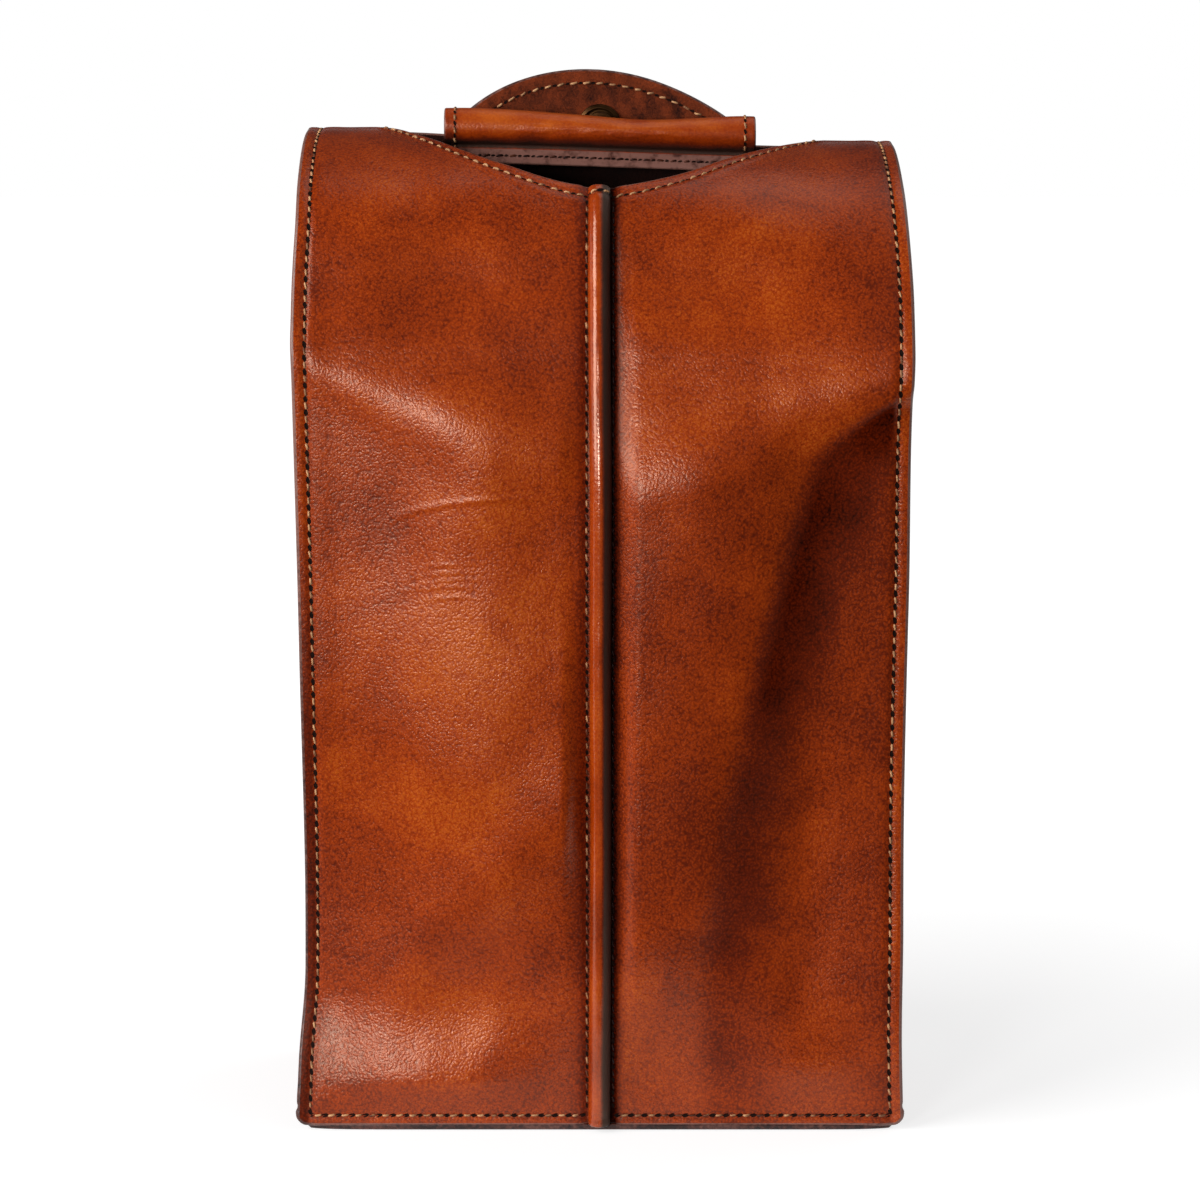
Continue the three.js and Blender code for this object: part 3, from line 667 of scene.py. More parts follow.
def flesh_side(name="hide_flesh_side", dark=None, light=None):
    """Unfinished inner side of the hide: matt, short fibres, dark from the stain that soaked through, and
    kept near black as painted shade of the bag's inside.
    """
    made, tree = start_material(name)
    dark, light = dark or colours().flesh_dark_painted_shade, light or colours().flesh_light_painted_shade
    place = add(tree, "ShaderNodeTexCoord").outputs["Object"]
    fibres = add(tree, "ShaderNodeTexNoise", {
        "Vector": place, "Scale": 1 / (1.4 * MM), "Detail": 6, "Roughness": 0.75, "Distortion": 1.2})
    clouds = add(tree, "ShaderNodeTexNoise", {"Vector": place, "Scale": 1 / (12 * MM), "Detail": 3})
    tone = add(tree, "ShaderNodeMath", {0: clouds.outputs["Fac"], 1: 0.5, 2: fibres.outputs["Fac"]},
               operation="MULTIPLY_ADD")
    stain_and_painted_light = add(tree, "ShaderNodeAttribute", attribute_name="stain_and_painted_light", attribute_type="GEOMETRY")
    tone = add(tree, "ShaderNodeMath", {0: tone.outputs[0], 1: stain_and_painted_light.outputs["Fac"]},
               operation="SUBTRACT")
    colour = add(tree, "ShaderNodeValToRGB", {"Fac": tone.outputs[0]}, stops=[
        (0.1, dark), (0.7, light)]).outputs["Color"]
    bump = add(tree, "ShaderNodeBump", {
        "Height": fibres.outputs["Fac"], "Strength": 0.6, "Distance": 0.5 * MM})
    return close_material(made, tree, {
        "Base Color": colour, "Roughness": 0.75, "Normal": bump.outputs[0], "Specular IOR Level": 0.1})


def waxed_thread():
    """Twisted linen thread rubbed with wax: cream, dulled with stain, with a slight shine. Its strands
    are drawn coarser than real ones, so that they show."""
    made, tree = start_material("waxed_linen_thread")
    tones = colours()
    place = add(tree, "ShaderNodeTexCoord").outputs["Object"]
    soil = add(tree, "ShaderNodeTexNoise", {"Vector": place, "Scale": 1 / (5 * MM), "Detail": 3})
    stain_and_painted_light = add(tree, "ShaderNodeAttribute", attribute_name="stain_and_painted_light", attribute_type="GEOMETRY")
    tone = add(tree, "ShaderNodeMath", {0: soil.outputs["Fac"], 1: stain_and_painted_light.outputs["Fac"]},
               operation="SUBTRACT")
    colour = add(tree, "ShaderNodeValToRGB", {"Fac": tone.outputs[0]}, stops=[
        (0.05, tones.pooled_stain), (0.32, tones.thread_soiled),
        (0.58, tones.thread_cream)]).outputs["Color"]
    strands = add(tree, "ShaderNodeTexNoise", {"Vector": place, "Scale": 1 / (0.5 * MM), "Detail": 2})
    bump = add(tree, "ShaderNodeBump", {
        "Height": strands.outputs["Fac"], "Strength": 0.4, "Distance": 0.15 * MM})
    return close_material(made, tree, {
        "Base Color": colour, "Roughness": 0.5, "Normal": bump.outputs[0], "Specular IOR Level": 0.2})


def awl_slit():
    """The dark slit that the awl leaves, filled with stain and shadow."""
    made, tree = start_material("awl_slit")
    place = add(tree, "ShaderNodeTexCoord").outputs["Object"]
    grit = add(tree, "ShaderNodeTexNoise", {"Vector": place, "Scale": 1 / (0.8 * MM), "Detail": 2})
    colour = add(tree, "ShaderNodeValToRGB", {"Fac": grit.outputs["Fac"]}, stops=[
        (0.3, linear("#0c0402")), (0.8, linear("#241009"))]).outputs["Color"]
    return close_material(made, tree, {"Base Color": colour, "Roughness": 0.8, "Specular IOR Level": 0.1})


def aged_brass():
    """Stamped brass, darkened with age: dark brown, a dull gold where it rubs."""
    made, tree = start_material("tarnished_brass")
    tones = colours()
    place = add(tree, "ShaderNodeTexCoord").outputs["Object"]
    tarnish = add(tree, "ShaderNodeTexNoise", {
        "Vector": place, "Scale": 1 / (3 * MM), "Detail": 5, "Roughness": 0.7})
    colour = add(tree, "ShaderNodeValToRGB", {"Fac": tarnish.outputs["Fac"]}, stops=[
        (0.35, tones.brass_dark), (0.7, tones.brass_light)]).outputs["Color"]
    rough = add(tree, "ShaderNodeMapRange", {
        "Value": tarnish.outputs["Fac"], "To Min": 0.5, "To Max": 0.28})
    return close_material(made, tree, {
        "Base Color": colour, "Roughness": rough.outputs[0], "Metallic": 1.0})


def fibre_board():
    """Pressed brown fibre board: matt, with short flecks."""
    made, tree = start_material("pressed_board")
    place = add(tree, "ShaderNodeTexCoord").outputs["Object"]
    flecks = add(tree, "ShaderNodeTexNoise", {
        "Vector": place, "Scale": 1 / (1.5 * MM), "Detail": 5, "Roughness": 0.8})
    colour = add(tree, "ShaderNodeValToRGB", {"Fac": flecks.outputs["Fac"]}, stops=[
        (0.3, linear("#4a3524")), (0.75, linear("#7d6145"))]).outputs["Color"]
    bump = add(tree, "ShaderNodeBump", {
        "Height": flecks.outputs["Fac"], "Strength": 0.3, "Distance": 0.2 * MM})
    return close_material(made, tree, {
        "Base Color": colour, "Roughness": 0.85, "Normal": bump.outputs[0], "Specular IOR Level": 0.2})


def beech_rod():
    """Turned beech, oiled: pale brown with short darker flecks along the rod."""
    made, tree = start_material("oiled_beech")
    place = add(tree, "ShaderNodeTexCoord").outputs["Object"]
    length, width = 12 * MM, 1.2 * MM
    drawn = add(tree, "ShaderNodeMapping", {"Vector": place, "Scale": (1 / length, 1 / width, 1 / width)})
    flecks = add(tree, "ShaderNodeTexNoise", {"Vector": drawn.outputs[0], "Scale": 1, "Detail": 3})
    colour = add(tree, "ShaderNodeValToRGB", {"Fac": flecks.outputs["Fac"]}, stops=[
        (0.35, linear("#6f4a2c")), (0.7, linear("#9c734b"))]).outputs["Color"]
    return close_material(made, tree, {"Base Color": colour, "Roughness": 0.55, "Specular IOR Level": 0.4})


def cotton_cord():
    """Piping cord of the welt: off-white twisted cotton."""
    made, tree = start_material("piping_cotton")
    place = add(tree, "ShaderNodeTexCoord").outputs["Object"]
    strands = add(tree, "ShaderNodeTexNoise", {"Vector": place, "Scale": 1 / (1 * MM), "Detail": 3})
    colour = add(tree, "ShaderNodeValToRGB", {"Fac": strands.outputs["Fac"]}, stops=[
        (0.3, linear("#7d6a55")), (0.7, linear("#b9a78d"))]).outputs["Color"]
    return close_material(made, tree, {"Base Color": colour, "Roughness": 0.9, "Specular IOR Level": 0.2})


MATERIAL_MAKERS = (
    stained_leather, polished_leather, handled_leather, burnished_edge, flesh_side, brushed_side,
    waxed_thread, awl_slit, aged_brass, fibre_board, beech_rod, cotton_cord)


def leather(face="hand_stained_hide"):
    """Finishes of a sheet's face, edge and flesh side."""
    return [bpy.data.materials[name] for name in (face, "burnished_edge", "hide_flesh_side")]


def inside_leather():
    """Finishes of a sheet that shows its flesh side on both faces."""
    return [bpy.data.materials[name] for name in ("hide_flesh_side", "burnished_edge", "hide_flesh_side")]


def tab_lining_leather():
    """Finishes of the tab's lining, whose brushed side faces the grip."""
    return [bpy.data.materials[name] for name in ("brushed_hide", "burnished_edge", "hand_stained_hide")]


# Properties

def colour_property(name, description, hex_colour):
    return FloatVectorProperty(name=name, description=description, subtype="COLOR", size=3,
                               min=0, max=1, default=linear(hex_colour))


def length_property(name, description, millimetres):
    return FloatProperty(name=name, description=description, unit="LENGTH", precision=5,
                         default=millimetres * MM)


class CarrierSizes(bpy.types.PropertyGroup):
    """Sizes of the sewing and of the wear."""
    stitch_pitch: length_property("Stitch pitch", "Distance from one stitch to the next", 4.5)
    stitch_length: length_property("Stitch length", "Visible length of one stitch", 2.3)
    thread_width: length_property("Thread width", "Diameter of the waxed thread", 0.75)
    slit_length: length_property("Slit length", "Length of an awl slit", 2.5)
    slit_width: length_property("Slit width", "Width of an awl slit", 1.3)
    right_drop: length_property("Right shoulder drop", "How far the right shoulder has sunk", 3.6)
    left_draw: length_property("Left seam draw", "How far the left seam is drawn in", 1.5)
    right_swell: length_property("Right seam swell", "How far the right seam is pushed out", 0.8)


class CarrierColours(bpy.types.PropertyGroup):
    """Colours of leather, thread and brass."""
    pooled_stain: colour_property("Pooled stain", "Leather where the stain pooled", "#1f0704")
    deep_stain: colour_property("Deep stain", "Leather with a full coat of stain", "#661c04")
    red_brown: colour_property("Red-brown", "Leather at its middle tone", "#9a3504")
    worn_orange: colour_property("Worn orange", "Leather where handling wore the stain", "#be5813")
    edge_dark: colour_property("Edge, dark", "Burnished edge in its dark places", "#4e2c24")
    edge_light: colour_property("Edge, light", "Burnished edge in its light places", "#7f564b")
    # The flesh side's colours are near black: partly the stain that soaked through, partly painted shade
    # inside the bag.
    flesh_dark_painted_shade: colour_property("Flesh side, dark", "Inner side of the hide, dark", "#120604")
    flesh_light_painted_shade: colour_property("Flesh side, light", "Inner side of the hide, light", "#2c120a")
    brushed_dark: colour_property("Tab lining, dark", "Brushed lining of the tab, dark", "#2a0f07")
    brushed_light: colour_property("Tab lining, light", "Brushed lining of the tab, light", "#8f3d1b")
    thread_cream: colour_property("Thread", "Clean waxed thread", "#c49468")
    thread_soiled: colour_property("Soiled thread", "Thread soiled with stain", "#5a2d1a")
    brass_dark: colour_property("Brass, dark", "Tarnished brass", "#3a2415")
    brass_light: colour_property("Brass, light", "Rubbed brass", "#54391f")


# Operators

class CarrierOperator(bpy.types.Operator):
    """Shared settings of the carrier's operators."""
    bl_options = {"REGISTER", "UNDO"}


class CARRIER_OT_materials(CarrierOperator):
    """Make the finishes of leather, thread, brass, board and wood"""
    bl_idname = "carrier.materials"
    bl_label = "Materials"

    def execute(self, context):
        for maker in MATERIAL_MAKERS:
            maker()
        return {"FINISHED"}


def front_columns():
    """Columns across one panel, closer together at the welt and at the flange."""
    welt, middle, flange = np.arange(0.3, 9, 0.6), np.arange(9, 88, 1.0), np.arange(88, 102.01, 0.56)
    return np.concatenate([welt, middle, flange]) * MM


# Broad clouds of the hand staining, and of painted sheen where they lighten the right of the roof, the low
# left panel and the left foot: x, height, half width, half height in millimetres, amount of stain
STAIN_AND_SHEEN_CLOUDS = (
    # painted sheen on the right of the roof
    (42, 282, 36, 24, -0.1),
    (-30, 272, 26, 24, 0.16),
    (38, 192, 16, 30, 0.15),
    (14, 190, 10, 34, 0.14),
    (26, 115, 18, 36, 0.1),
    (-74, 205, 13, 16, 0.12),
    (-48, 62, 34, 11, 0.12),
    (52, 70, 22, 30, 0.12),
    # painted sheen low on the left panel
    (-50, 115, 28, 22, -0.06),
    (-85, 150, 9, 50, -0.1),
    # painted sheen over the left foot
    (-62, 36, 34, 14, -0.14),
)


# Rows up a front panel, as shares of its length, closer together where the scratches are
FRONT_ROWS = np.concatenate([
    np.linspace(0, 0.42, 165), np.linspace(0.42, 0.58, 150)[1:], np.linspace(0.58, 1, 165)[1:]])


class CARRIER_OT_front(CarrierOperator):
    """Make the two front panels, bent over the shoulder and creased with use"""
    bl_idname = "carrier.front"
    bl_label = "Front leather"

    def execute(self, context):
        for name, side in (("left", -1), ("right", 1)):
            x = side * np.minimum(front_columns(), HALF_WIDTH - 0.5 * MM)[:, None]
            s = FRONT_ROWS[None, :] * neck_length(x)
            x = x + 0 * s
            grid = front_skin(x, s)
            piece = leather_sheet(f"front_leather_{name}", grid, (0, -1, 0.3), PANEL, leather(),
                                  self.stain_and_painted_light(x, s), rim=0.5)
            dress(piece, "bag", "stained_leather", f"front_panel_{name}")
        return {"FINISHED"}

    def stain_and_painted_light(self, x, s):
        """Where the stain pooled: along the seams and in the hollow behind the right crease, the hollow
        partly painted shade. Beside the welt's right side it is painted shade, the welt's shadow. The
        middle of the left panel, the bend and the right flange are lighter: painted light and a painted
        highlight."""
        a, h = np.abs(x), s + SEWN_LOW
        ridge = ridge_height(x)
        # On the right, the dark band beside the welt is painted shade: the welt's shadow on the panel.
        seam = np.where(x > 0, 0.9 * hump(a, 3.5 * MM, 2.6 * MM), 0.3 * hump(a, 4 * MM, 4 * MM))
        edges = np.where(x > 0, 0.16, 0.08) * ease(a, 74 * MM, 97 * MM) + seam
        # On the right the flange beyond the stitches is lighter: painted light where it is lit.
        flange = np.where(x > 0, -0.18, 0.42 * (1 - ease(h, 110 * MM, 230 * MM)) - 0.1)
        edges = edges + flange * ease(a, 97.5 * MM, 99.5 * MM)
        # A lighter patch in the middle of the left panel: painted light on its full middle.
        painted_light_middle = np.where(x < 0, 0.22 * hump(a, 45 * MM, 30 * MM) * hump(h, 165 * MM, 60 * MM), 0)
        # The hollow behind the right crease is darkened: partly pooled stain, partly painted shade.
        out = a - crease_column(h)
        reach = 36 * MM + 26 * MM * ease(h, ridge - 38 * MM, ridge - 12 * MM)
        hollow = ease(out, -3 * MM, 8 * MM) * (1 - ease(out, 8 * MM, reach)) * ease(ridge - h, 0, 12 * MM)
        hollow = hollow * (1 - ease(a, 95 * MM, 98 * MM)) * (1 + 0.15 * ripple(x, s, 40 * MM, 7))
        hollow = np.where(x > 0, (0.22 + 0.32 * ease(h, 75 * MM, 190 * MM)) * hollow, 0)
        clouds = sum(amount * hump(x, middle * MM, wide * MM) * hump(h, high * MM, tall * MM)
                     for middle, high, wide, tall, amount in STAIN_AND_SHEEN_CLOUDS)
        # The band along the bend is lighter: a painted highlight.
        return edges + hollow - painted_light_middle - 0.08 * hump(h, ridge, 16 * MM) + clouds


class CARRIER_OT_welt(CarrierOperator):
    """Make the half-round welt over the seam between the front panels, and the cord in it"""
    bl_idname = "carrier.welt"
    bl_label = "Centre welt"

    def execute(self, context):
        end = neck_length(0)
        cover = self.half_round("centre_welt_leather", WELT_HALF, WELT_HEIGHT, 0, end, 1.1 * MM,
                                leather("polished_hide"))
        dress(cover, "bag", "stained_leather", "centre_welt")
        cotton = [bpy.data.materials["piping_cotton"]] * 3
        inner = 1.3 * MM
        cord = self.half_round("welt_cotton", WELT_HALF - inner, WELT_HEIGHT - inner, 1 * MM,
                               end - 0.6 * MM, 2.2 * MM, cotton)
        dress(cord, "bag", "cotton_cord", "welt_cord")
        return {"FINISHED"}

    def half_round(self, name, half, height, low, end, thickness, finishes):
        """A half-round cover on the front, a little uneven, dark on the side away from the light."""
        s = np.linspace(low, end, 320)[:, None]
        angle = np.linspace(0, np.pi, 22)[None, :]
        wander = 0.35 * MM * ripple(s, 0, 90 * MM, 11)
        x = half * np.cos(angle) + wander
        sunk = 1 - 0.75 * ease(s, neck_length(0) - 9 * MM, neck_length(0) - 1 * MM)
        uneven = 1 + 0.06 * ripple(s, 0, 40 * MM, 12) + 0.018 * ripple(s, x, 11 * MM, 14)
        rise = height * sunk * np.sin(angle) ** 0.85 * uneven
        grid = front_skin(x, s + 0 * x, -rise)
        stain_and_painted_light = 1.05 * ease(np.cos(angle), 0.05, 0.5) - 0.1 + 0.1 * ripple(s, 0, 30 * MM, 13)
        return leather_sheet(name, grid, (0, -1, 0.3), thickness, finishes, stain_and_painted_light)


def gusset_skin(side, s):
    """Face of a side wall: out along the front flange, across the wall, out along the back flange."""
    y, z, out_y, out_z = profile(s)
    bend = 1.5 * MM
    foot = HALF_WIDTH - FLANGE
    depth = PANEL + GAP + GUSSET
    back_y = BACK_Y - depth
    depth = depth - seam_shift(side * HALF_WIDTH, s + SEWN_LOW) * MM
    back_z = SEWN_LOW + (CREST - PANEL - GAP - SEWN_LOW) * s / s.max()
    flange = np.linspace(HALF_WIDTH, foot + bend, 7)
    turn = np.linspace(0, np.pi / 2, 6)[1:]
    across = np.linspace(0, 1, 34)[1:-1]
    fold = 3.2 * MM * np.sin(np.pi * across) ** 2 * ease(s, 10 * MM, 90 * MM)
    fold = fold + 0.5 * MM * np.sin(np.pi * across) * ripple(s, 60 * MM * across, 70 * MM, 21 + side)
    wall_y = (y - out_y * (depth + bend)) * (1 - across) + (back_y - bend) * across
    wall_z = (z - out_z * (depth + bend)) * (1 - across) + back_z * across
    sink = depth + bend * (1 - np.cos(turn))
    one = np.ones_like(s)
    x = np.concatenate([flange * one, (foot + bend - bend * np.sin(turn)) * one, foot - fold,
                        (foot + bend - bend * np.sin(turn[::-1])) * one, flange[::-1] * one], 1)
    all_y = np.concatenate([y - out_y * depth + 0 * flange, y - out_y * sink, wall_y,
                            (back_y - bend * (1 - np.cos(turn[::-1]))) * one, back_y * one + 0 * flange], 1)
    all_z = np.concatenate([z - out_z * depth + 0 * flange, z - out_z * sink, wall_z,
                            back_z + 0 * turn, back_z + 0 * flange], 1)
    all_z = all_z + corner_lift(x, s)
    return settle(np.stack([side * x * waist(all_z), all_y, all_z], -1))


class CARRIER_OT_sides(CarrierOperator):
    """Make the side walls, with their sewn flanges turned outward"""
    bl_idname = "carrier.sides"
    bl_label = "Side leather"

    def execute(self, context):
        s = np.linspace(0, PROFILE_LENGTH - ROOF_FLAT, 220)[:, None]
        for name, side in (("left", -1), ("right", 1)):
            grid = gusset_skin(side, s)
            stain_and_painted_light = 0.3 + 0 * grid[..., 0]
            stain_and_painted_light[:, :10] += 0.35
            stain_and_painted_light[:, -10:] += 0.35
            piece = leather_sheet(f"side_leather_{name}", grid, (side, 0, 0), GUSSET, leather(), stain_and_painted_light)
            dress(piece, "bag", "stained_leather", f"gusset_{name}")
        return {"FINISHED"}


def back_skin(x, z):
    """Face of the back leather, flat at its seams and a little loose between them."""
    a = np.abs(x)
    loose = (1 - ease(a, 60 * MM, 95 * MM)) * ease(z, 8 * MM, 60 * MM) * (1 - ease(z, 215 * MM, 290 * MM))
    lift = 1.8 * loose + 0.7 * loose * ripple(x, z, 80 * MM, 31) + 0.12 * ripple(x, z, 18 * MM, 32)
    grooves = hump(a, HALF_WIDTH - SEAM_INSET, GROOVE_HALF) + hump(z, SEWN_LOW + 2.6 * MM, GROOVE_HALF)
    lift = lift - BACK_GROOVE * grooves
    crown = BACK_CROWN * ease(z, 318 * MM, CREST) * ease(-x, 32 * MM, 75 * MM)
    return settle(np.stack([x * waist(z), BACK_Y + lift * MM, z + crown * MM], -1))


class CARRIER_OT_back(CarrierOperator):
    """Make the back panel and the strip inside its top edge"""
    bl_idname = "carrier.back"
    bl_label = "Back leather"

    def execute(self, context):
        x = np.concatenate([-front_columns()[::-1], front_columns()])[:, None]
        x = np.clip(x, -HALF_WIDTH, HALF_WIDTH)
        z = np.linspace(SEWN_LOW, BACK_TOP, 240)[None, :]
        stain_and_painted_light = 0.35 * ease(np.abs(x), 75 * MM, 98 * MM) + 0.1 * ripple(x, z, 90 * MM, 33)
        grid = back_skin(x + 0 * z, z)
        panel = leather_sheet("back_leather", grid, (0, 1, 0), PANEL, leather(), stain_and_painted_light)
        dress(panel, "bag", "stained_leather", "back_panel")
        low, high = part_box("back_facing")
        x = np.linspace(low[0], high[0], 90)[:, None]
        z = np.linspace(low[2], high[2], 24)[None, :]
        grid = settle(np.stack([x + 0 * z, low[1] + 0 * (x + z), z + 0 * x], -1))
        facing = leather_sheet("back_facing_leather", grid, (0, -1, 0), high[1] - low[1],
                               inside_leather(), 0.4 + 0 * (x + z))
        dress(facing, "bag", "flesh_side_leather", "back_facing")
        return {"FINISHED"}


class CARRIER_OT_base(CarrierOperator):
    """Make the sole with its upright rim, and finish the stiff board on it"""
    bl_idname = "carrier.base"
    bl_label = "Base"

    def execute(self, context):
        low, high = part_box("base_panel")
        x = np.linspace(low[0], high[0], 120)[:, None]
        y = np.linspace(low[1], high[1], 60)[None, :]
        sole_top = SEWN_LOW - GAP
        u, v = x / high[0], y / high[1]
        grid = np.stack([x * (0.985 - 0.03 * v ** 8), y * (1 - 0.04 * u ** 16), 0 * (x + y)], -1)
        wear = 0.5 + 0.15 * ripple(x, y, 40 * MM, 41)
        face, edge, _ = leather()
        sole = leather_sheet("sole_leather", grid, (0, 0, -1), sole_top, [face, edge, face], wear, rim=0.15)
        dress(sole, "bag", "dark_leather", "base_panel")
        half_x, half_y = 93.7 * MM, BACK_Y - PANEL - GAP
        around = np.linspace(0, 2 * np.pi, 260)[:, None]
        z = np.linspace(sole_top, high[2], 8)[None, :]
        ring = np.stack([half_x * self.squared(np.cos(around)) + 0 * z,
                         half_y * self.squared(np.sin(around)) + 0 * z, z + 0 * around], -1)
        rim = leather_sheet("base_rim_leather", ring, (0, 0, 1), GUSSET, inside_leather(),
                            0.5 + 0 * ring[..., 0])
        dress(rim, "bag", "dark_leather")
        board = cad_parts["base_board"]
        for slot in board.material_slots:
            slot.link = "OBJECT"
            slot.material = bpy.data.materials["pressed_board"]
        return {"FINISHED"}

    def squared(self, wave):
        """A sine or cosine flattened, so that a ring of them is a rectangle with round corners."""
        return np.sign(wave) * np.maximum(np.abs(wave), 1e-9) ** 0.12


class CARRIER_OT_inside(CarrierOperator):
    """Make the neckline's facings and the wall between the two bottles"""
    bl_idname = "carrier.inside"
    bl_label = "Facings and divider"

    def execute(self, context):
        for name, side in (("left", -1), ("right", 1)):
            x = side * np.linspace(0.4, 72, 80)[:, None] * MM
            s = neck_length(x) - 12 * MM * np.linspace(1, 0, 14)[None, :]
            grid = front_skin(x + 0 * s, s, PANEL + 0.2 * MM)
            piece = leather_sheet(f"neck_facing_leather_{name}", grid, (0, -0.5, 1), 1.2 * MM, leather(),
                                  0.5 + 0 * s)
            dress(piece, "bag", "dark_leather", f"neck_facing_{name}")
        low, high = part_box("divider")
        y = np.linspace(low[1], high[1], 70)[:, None]
        corner_y = high[1] - 8 * MM
        share = np.clip((y + corner_y) / (2 * corner_y), 0, 1)
        top = high[2] - 160 * MM * share * (1 - share) - 7 * MM * ease(np.abs(y), corner_y, high[1])
        z = low[2] + (top - low[2]) * np.linspace(0, 1, 90)[None, :]
        bow = 1.2 * MM * ripple(y, z, 110 * MM, 51) * (1 - ease(np.abs(y), 30 * MM, 44 * MM))
        front = front_skin(0 * z, z - SEWN_LOW, PANEL + 1 * MM)[..., 1]
        grid = np.stack([high[0] + bow, np.maximum(y, front), z], -1)
        wall = leather_sheet("divider_leather", grid, (1, 0, 0), high[0] - low[0], inside_leather(),
                             0.3 + 0 * z)
        dress(wall, "bag", "flesh_side_leather", "divider")
        return {"FINISHED"}


class CARRIER_OT_straps(CarrierOperator):
    """Make the two straps that carry the grip, bent forward where they leave the back panel"""
    bl_idname = "carrier.straps"
    bl_label = "Handle straps"

    def execute(self, context):
        for name in ("left", "right"):
            low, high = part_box(f"handle_anchor_{name}")
            leg_low, leg_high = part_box(f"handle_leg_{name}")
            middle_y = (low[1] + high[1]) / 2
            path = self.path(middle_y, low[2], leg_low[1] + STRAP / 2, leg_high[2])
            half = (high[0] - low[0]) / 2
            from_end = path[:, 1] - low[2]
            width = np.sqrt(np.maximum(half ** 2 - np.maximum(half - from_end, 0) ** 2, (0.6 * MM) ** 2))
            across = np.linspace(-1, 1, 15)[None, :]
            x = (low[0] + high[0]) / 2 + across * width[:, None]
            dome = 0.35 * MM * (1 - across ** 4)
            grid = np.stack([x, path[:, :1] - STRAP / 2 - dome, path[:, 1:] + 0 * x], -1)
            piece = leather_sheet(f"handle_strap_{name}", settle(grid), (0, -1, 0), STRAP, leather(),
                                  0.55 + 0 * x)
            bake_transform(piece)
            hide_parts(f"handle_anchor_{name}", f"handle_leg_{name}")
        return {"FINISHED"}

    def path(self, anchor_y, low, leg_y, top):
        """Side view of the strap as y, z: up the back panel, then forward to the grip's flange."""
        z = np.linspace(low, top, 130)
        start = 280 * MM
        share = ease(z, start, top - 8 * MM)
        y = anchor_y + (leg_y - anchor_y) * share
        return np.stack([y, z], -1)


GRIP_WORN_X = 10 * MM          # the hand has pressed the grip in here
GRIP_START = math.asin(GRIP_FLANGE_HALF / GRIP_RADIUS)
GRIP_ROLL_LOW = GRIP_Z - GRIP_RADIUS * math.cos(GRIP_START)


def grip_table():
    """Length, y and z of the grip's outer face: up the front flange, over the roll, down the rear."""
    angle = np.linspace(1.5 * np.pi - GRIP_START, -0.5 * np.pi + GRIP_START, 160)
    flange = np.linspace(GRIP_LOW, GRIP_ROLL_LOW, 20)[:-1]
    y = np.concatenate([GRIP_Y - GRIP_FLANGE_HALF + 0 * flange, GRIP_Y + GRIP_RADIUS * np.cos(angle),
                        GRIP_Y + GRIP_FLANGE_HALF + 0 * flange])
    z = np.concatenate([flange, GRIP_Z + GRIP_RADIUS * np.sin(angle), flange[::-1]])
    for _ in range(12):
        y[1:-1] = (y[:-2] + 2 * y[1:-1] + y[2:]) / 4
        z[1:-1] = (z[:-2] + 2 * z[1:-1] + z[2:]) / 4
    length = np.concatenate([[0], np.cumsum(np.hypot(np.diff(y), np.diff(z)))])
    return length, y, z


GRIP_T, GRIP_FACE_Y, GRIP_FACE_Z = grip_table()


def grip_skin(x, t):
    """Face of the rolled grip at x and length t along its section, pressed in by the hand."""
    y, z = np.interp(t, GRIP_T, GRIP_FACE_Y), np.interp(t, GRIP_T, GRIP_FACE_Z)
    high = ease(z, GRIP_Z - 1 * MM, GRIP_Z + GRIP_RADIUS)
    roll = ease(z, GRIP_ROLL_LOW - 1 * MM, GRIP_Z)
    z = z - 2.1 * MM * high * hump(x, GRIP_WORN_X, 26 * MM) + 0.25 * MM * high * ripple(x, 0, 30 * MM, 61)
    y = y - 0.8 * MM * roll * hump(x, 12 * MM, 25 * MM) * np.sign(GRIP_Y - y)
    crease = 0.1 * MM * ripple(x, 3 * t, 7 * MM, 62) * (1 - ease(np.abs(x), 18 * MM, 40 * MM)) * roll
    y = y - crease
    lean = np.maximum(GRIP_ROLL_LOW - z, 0) / (GRIP_ROLL_LOW - GRIP_LOW)
    y = y - 3.2 * MM * lean ** 1.5
    return settle(np.stack([x + 0 * t, y, z + 0 * x], -1))


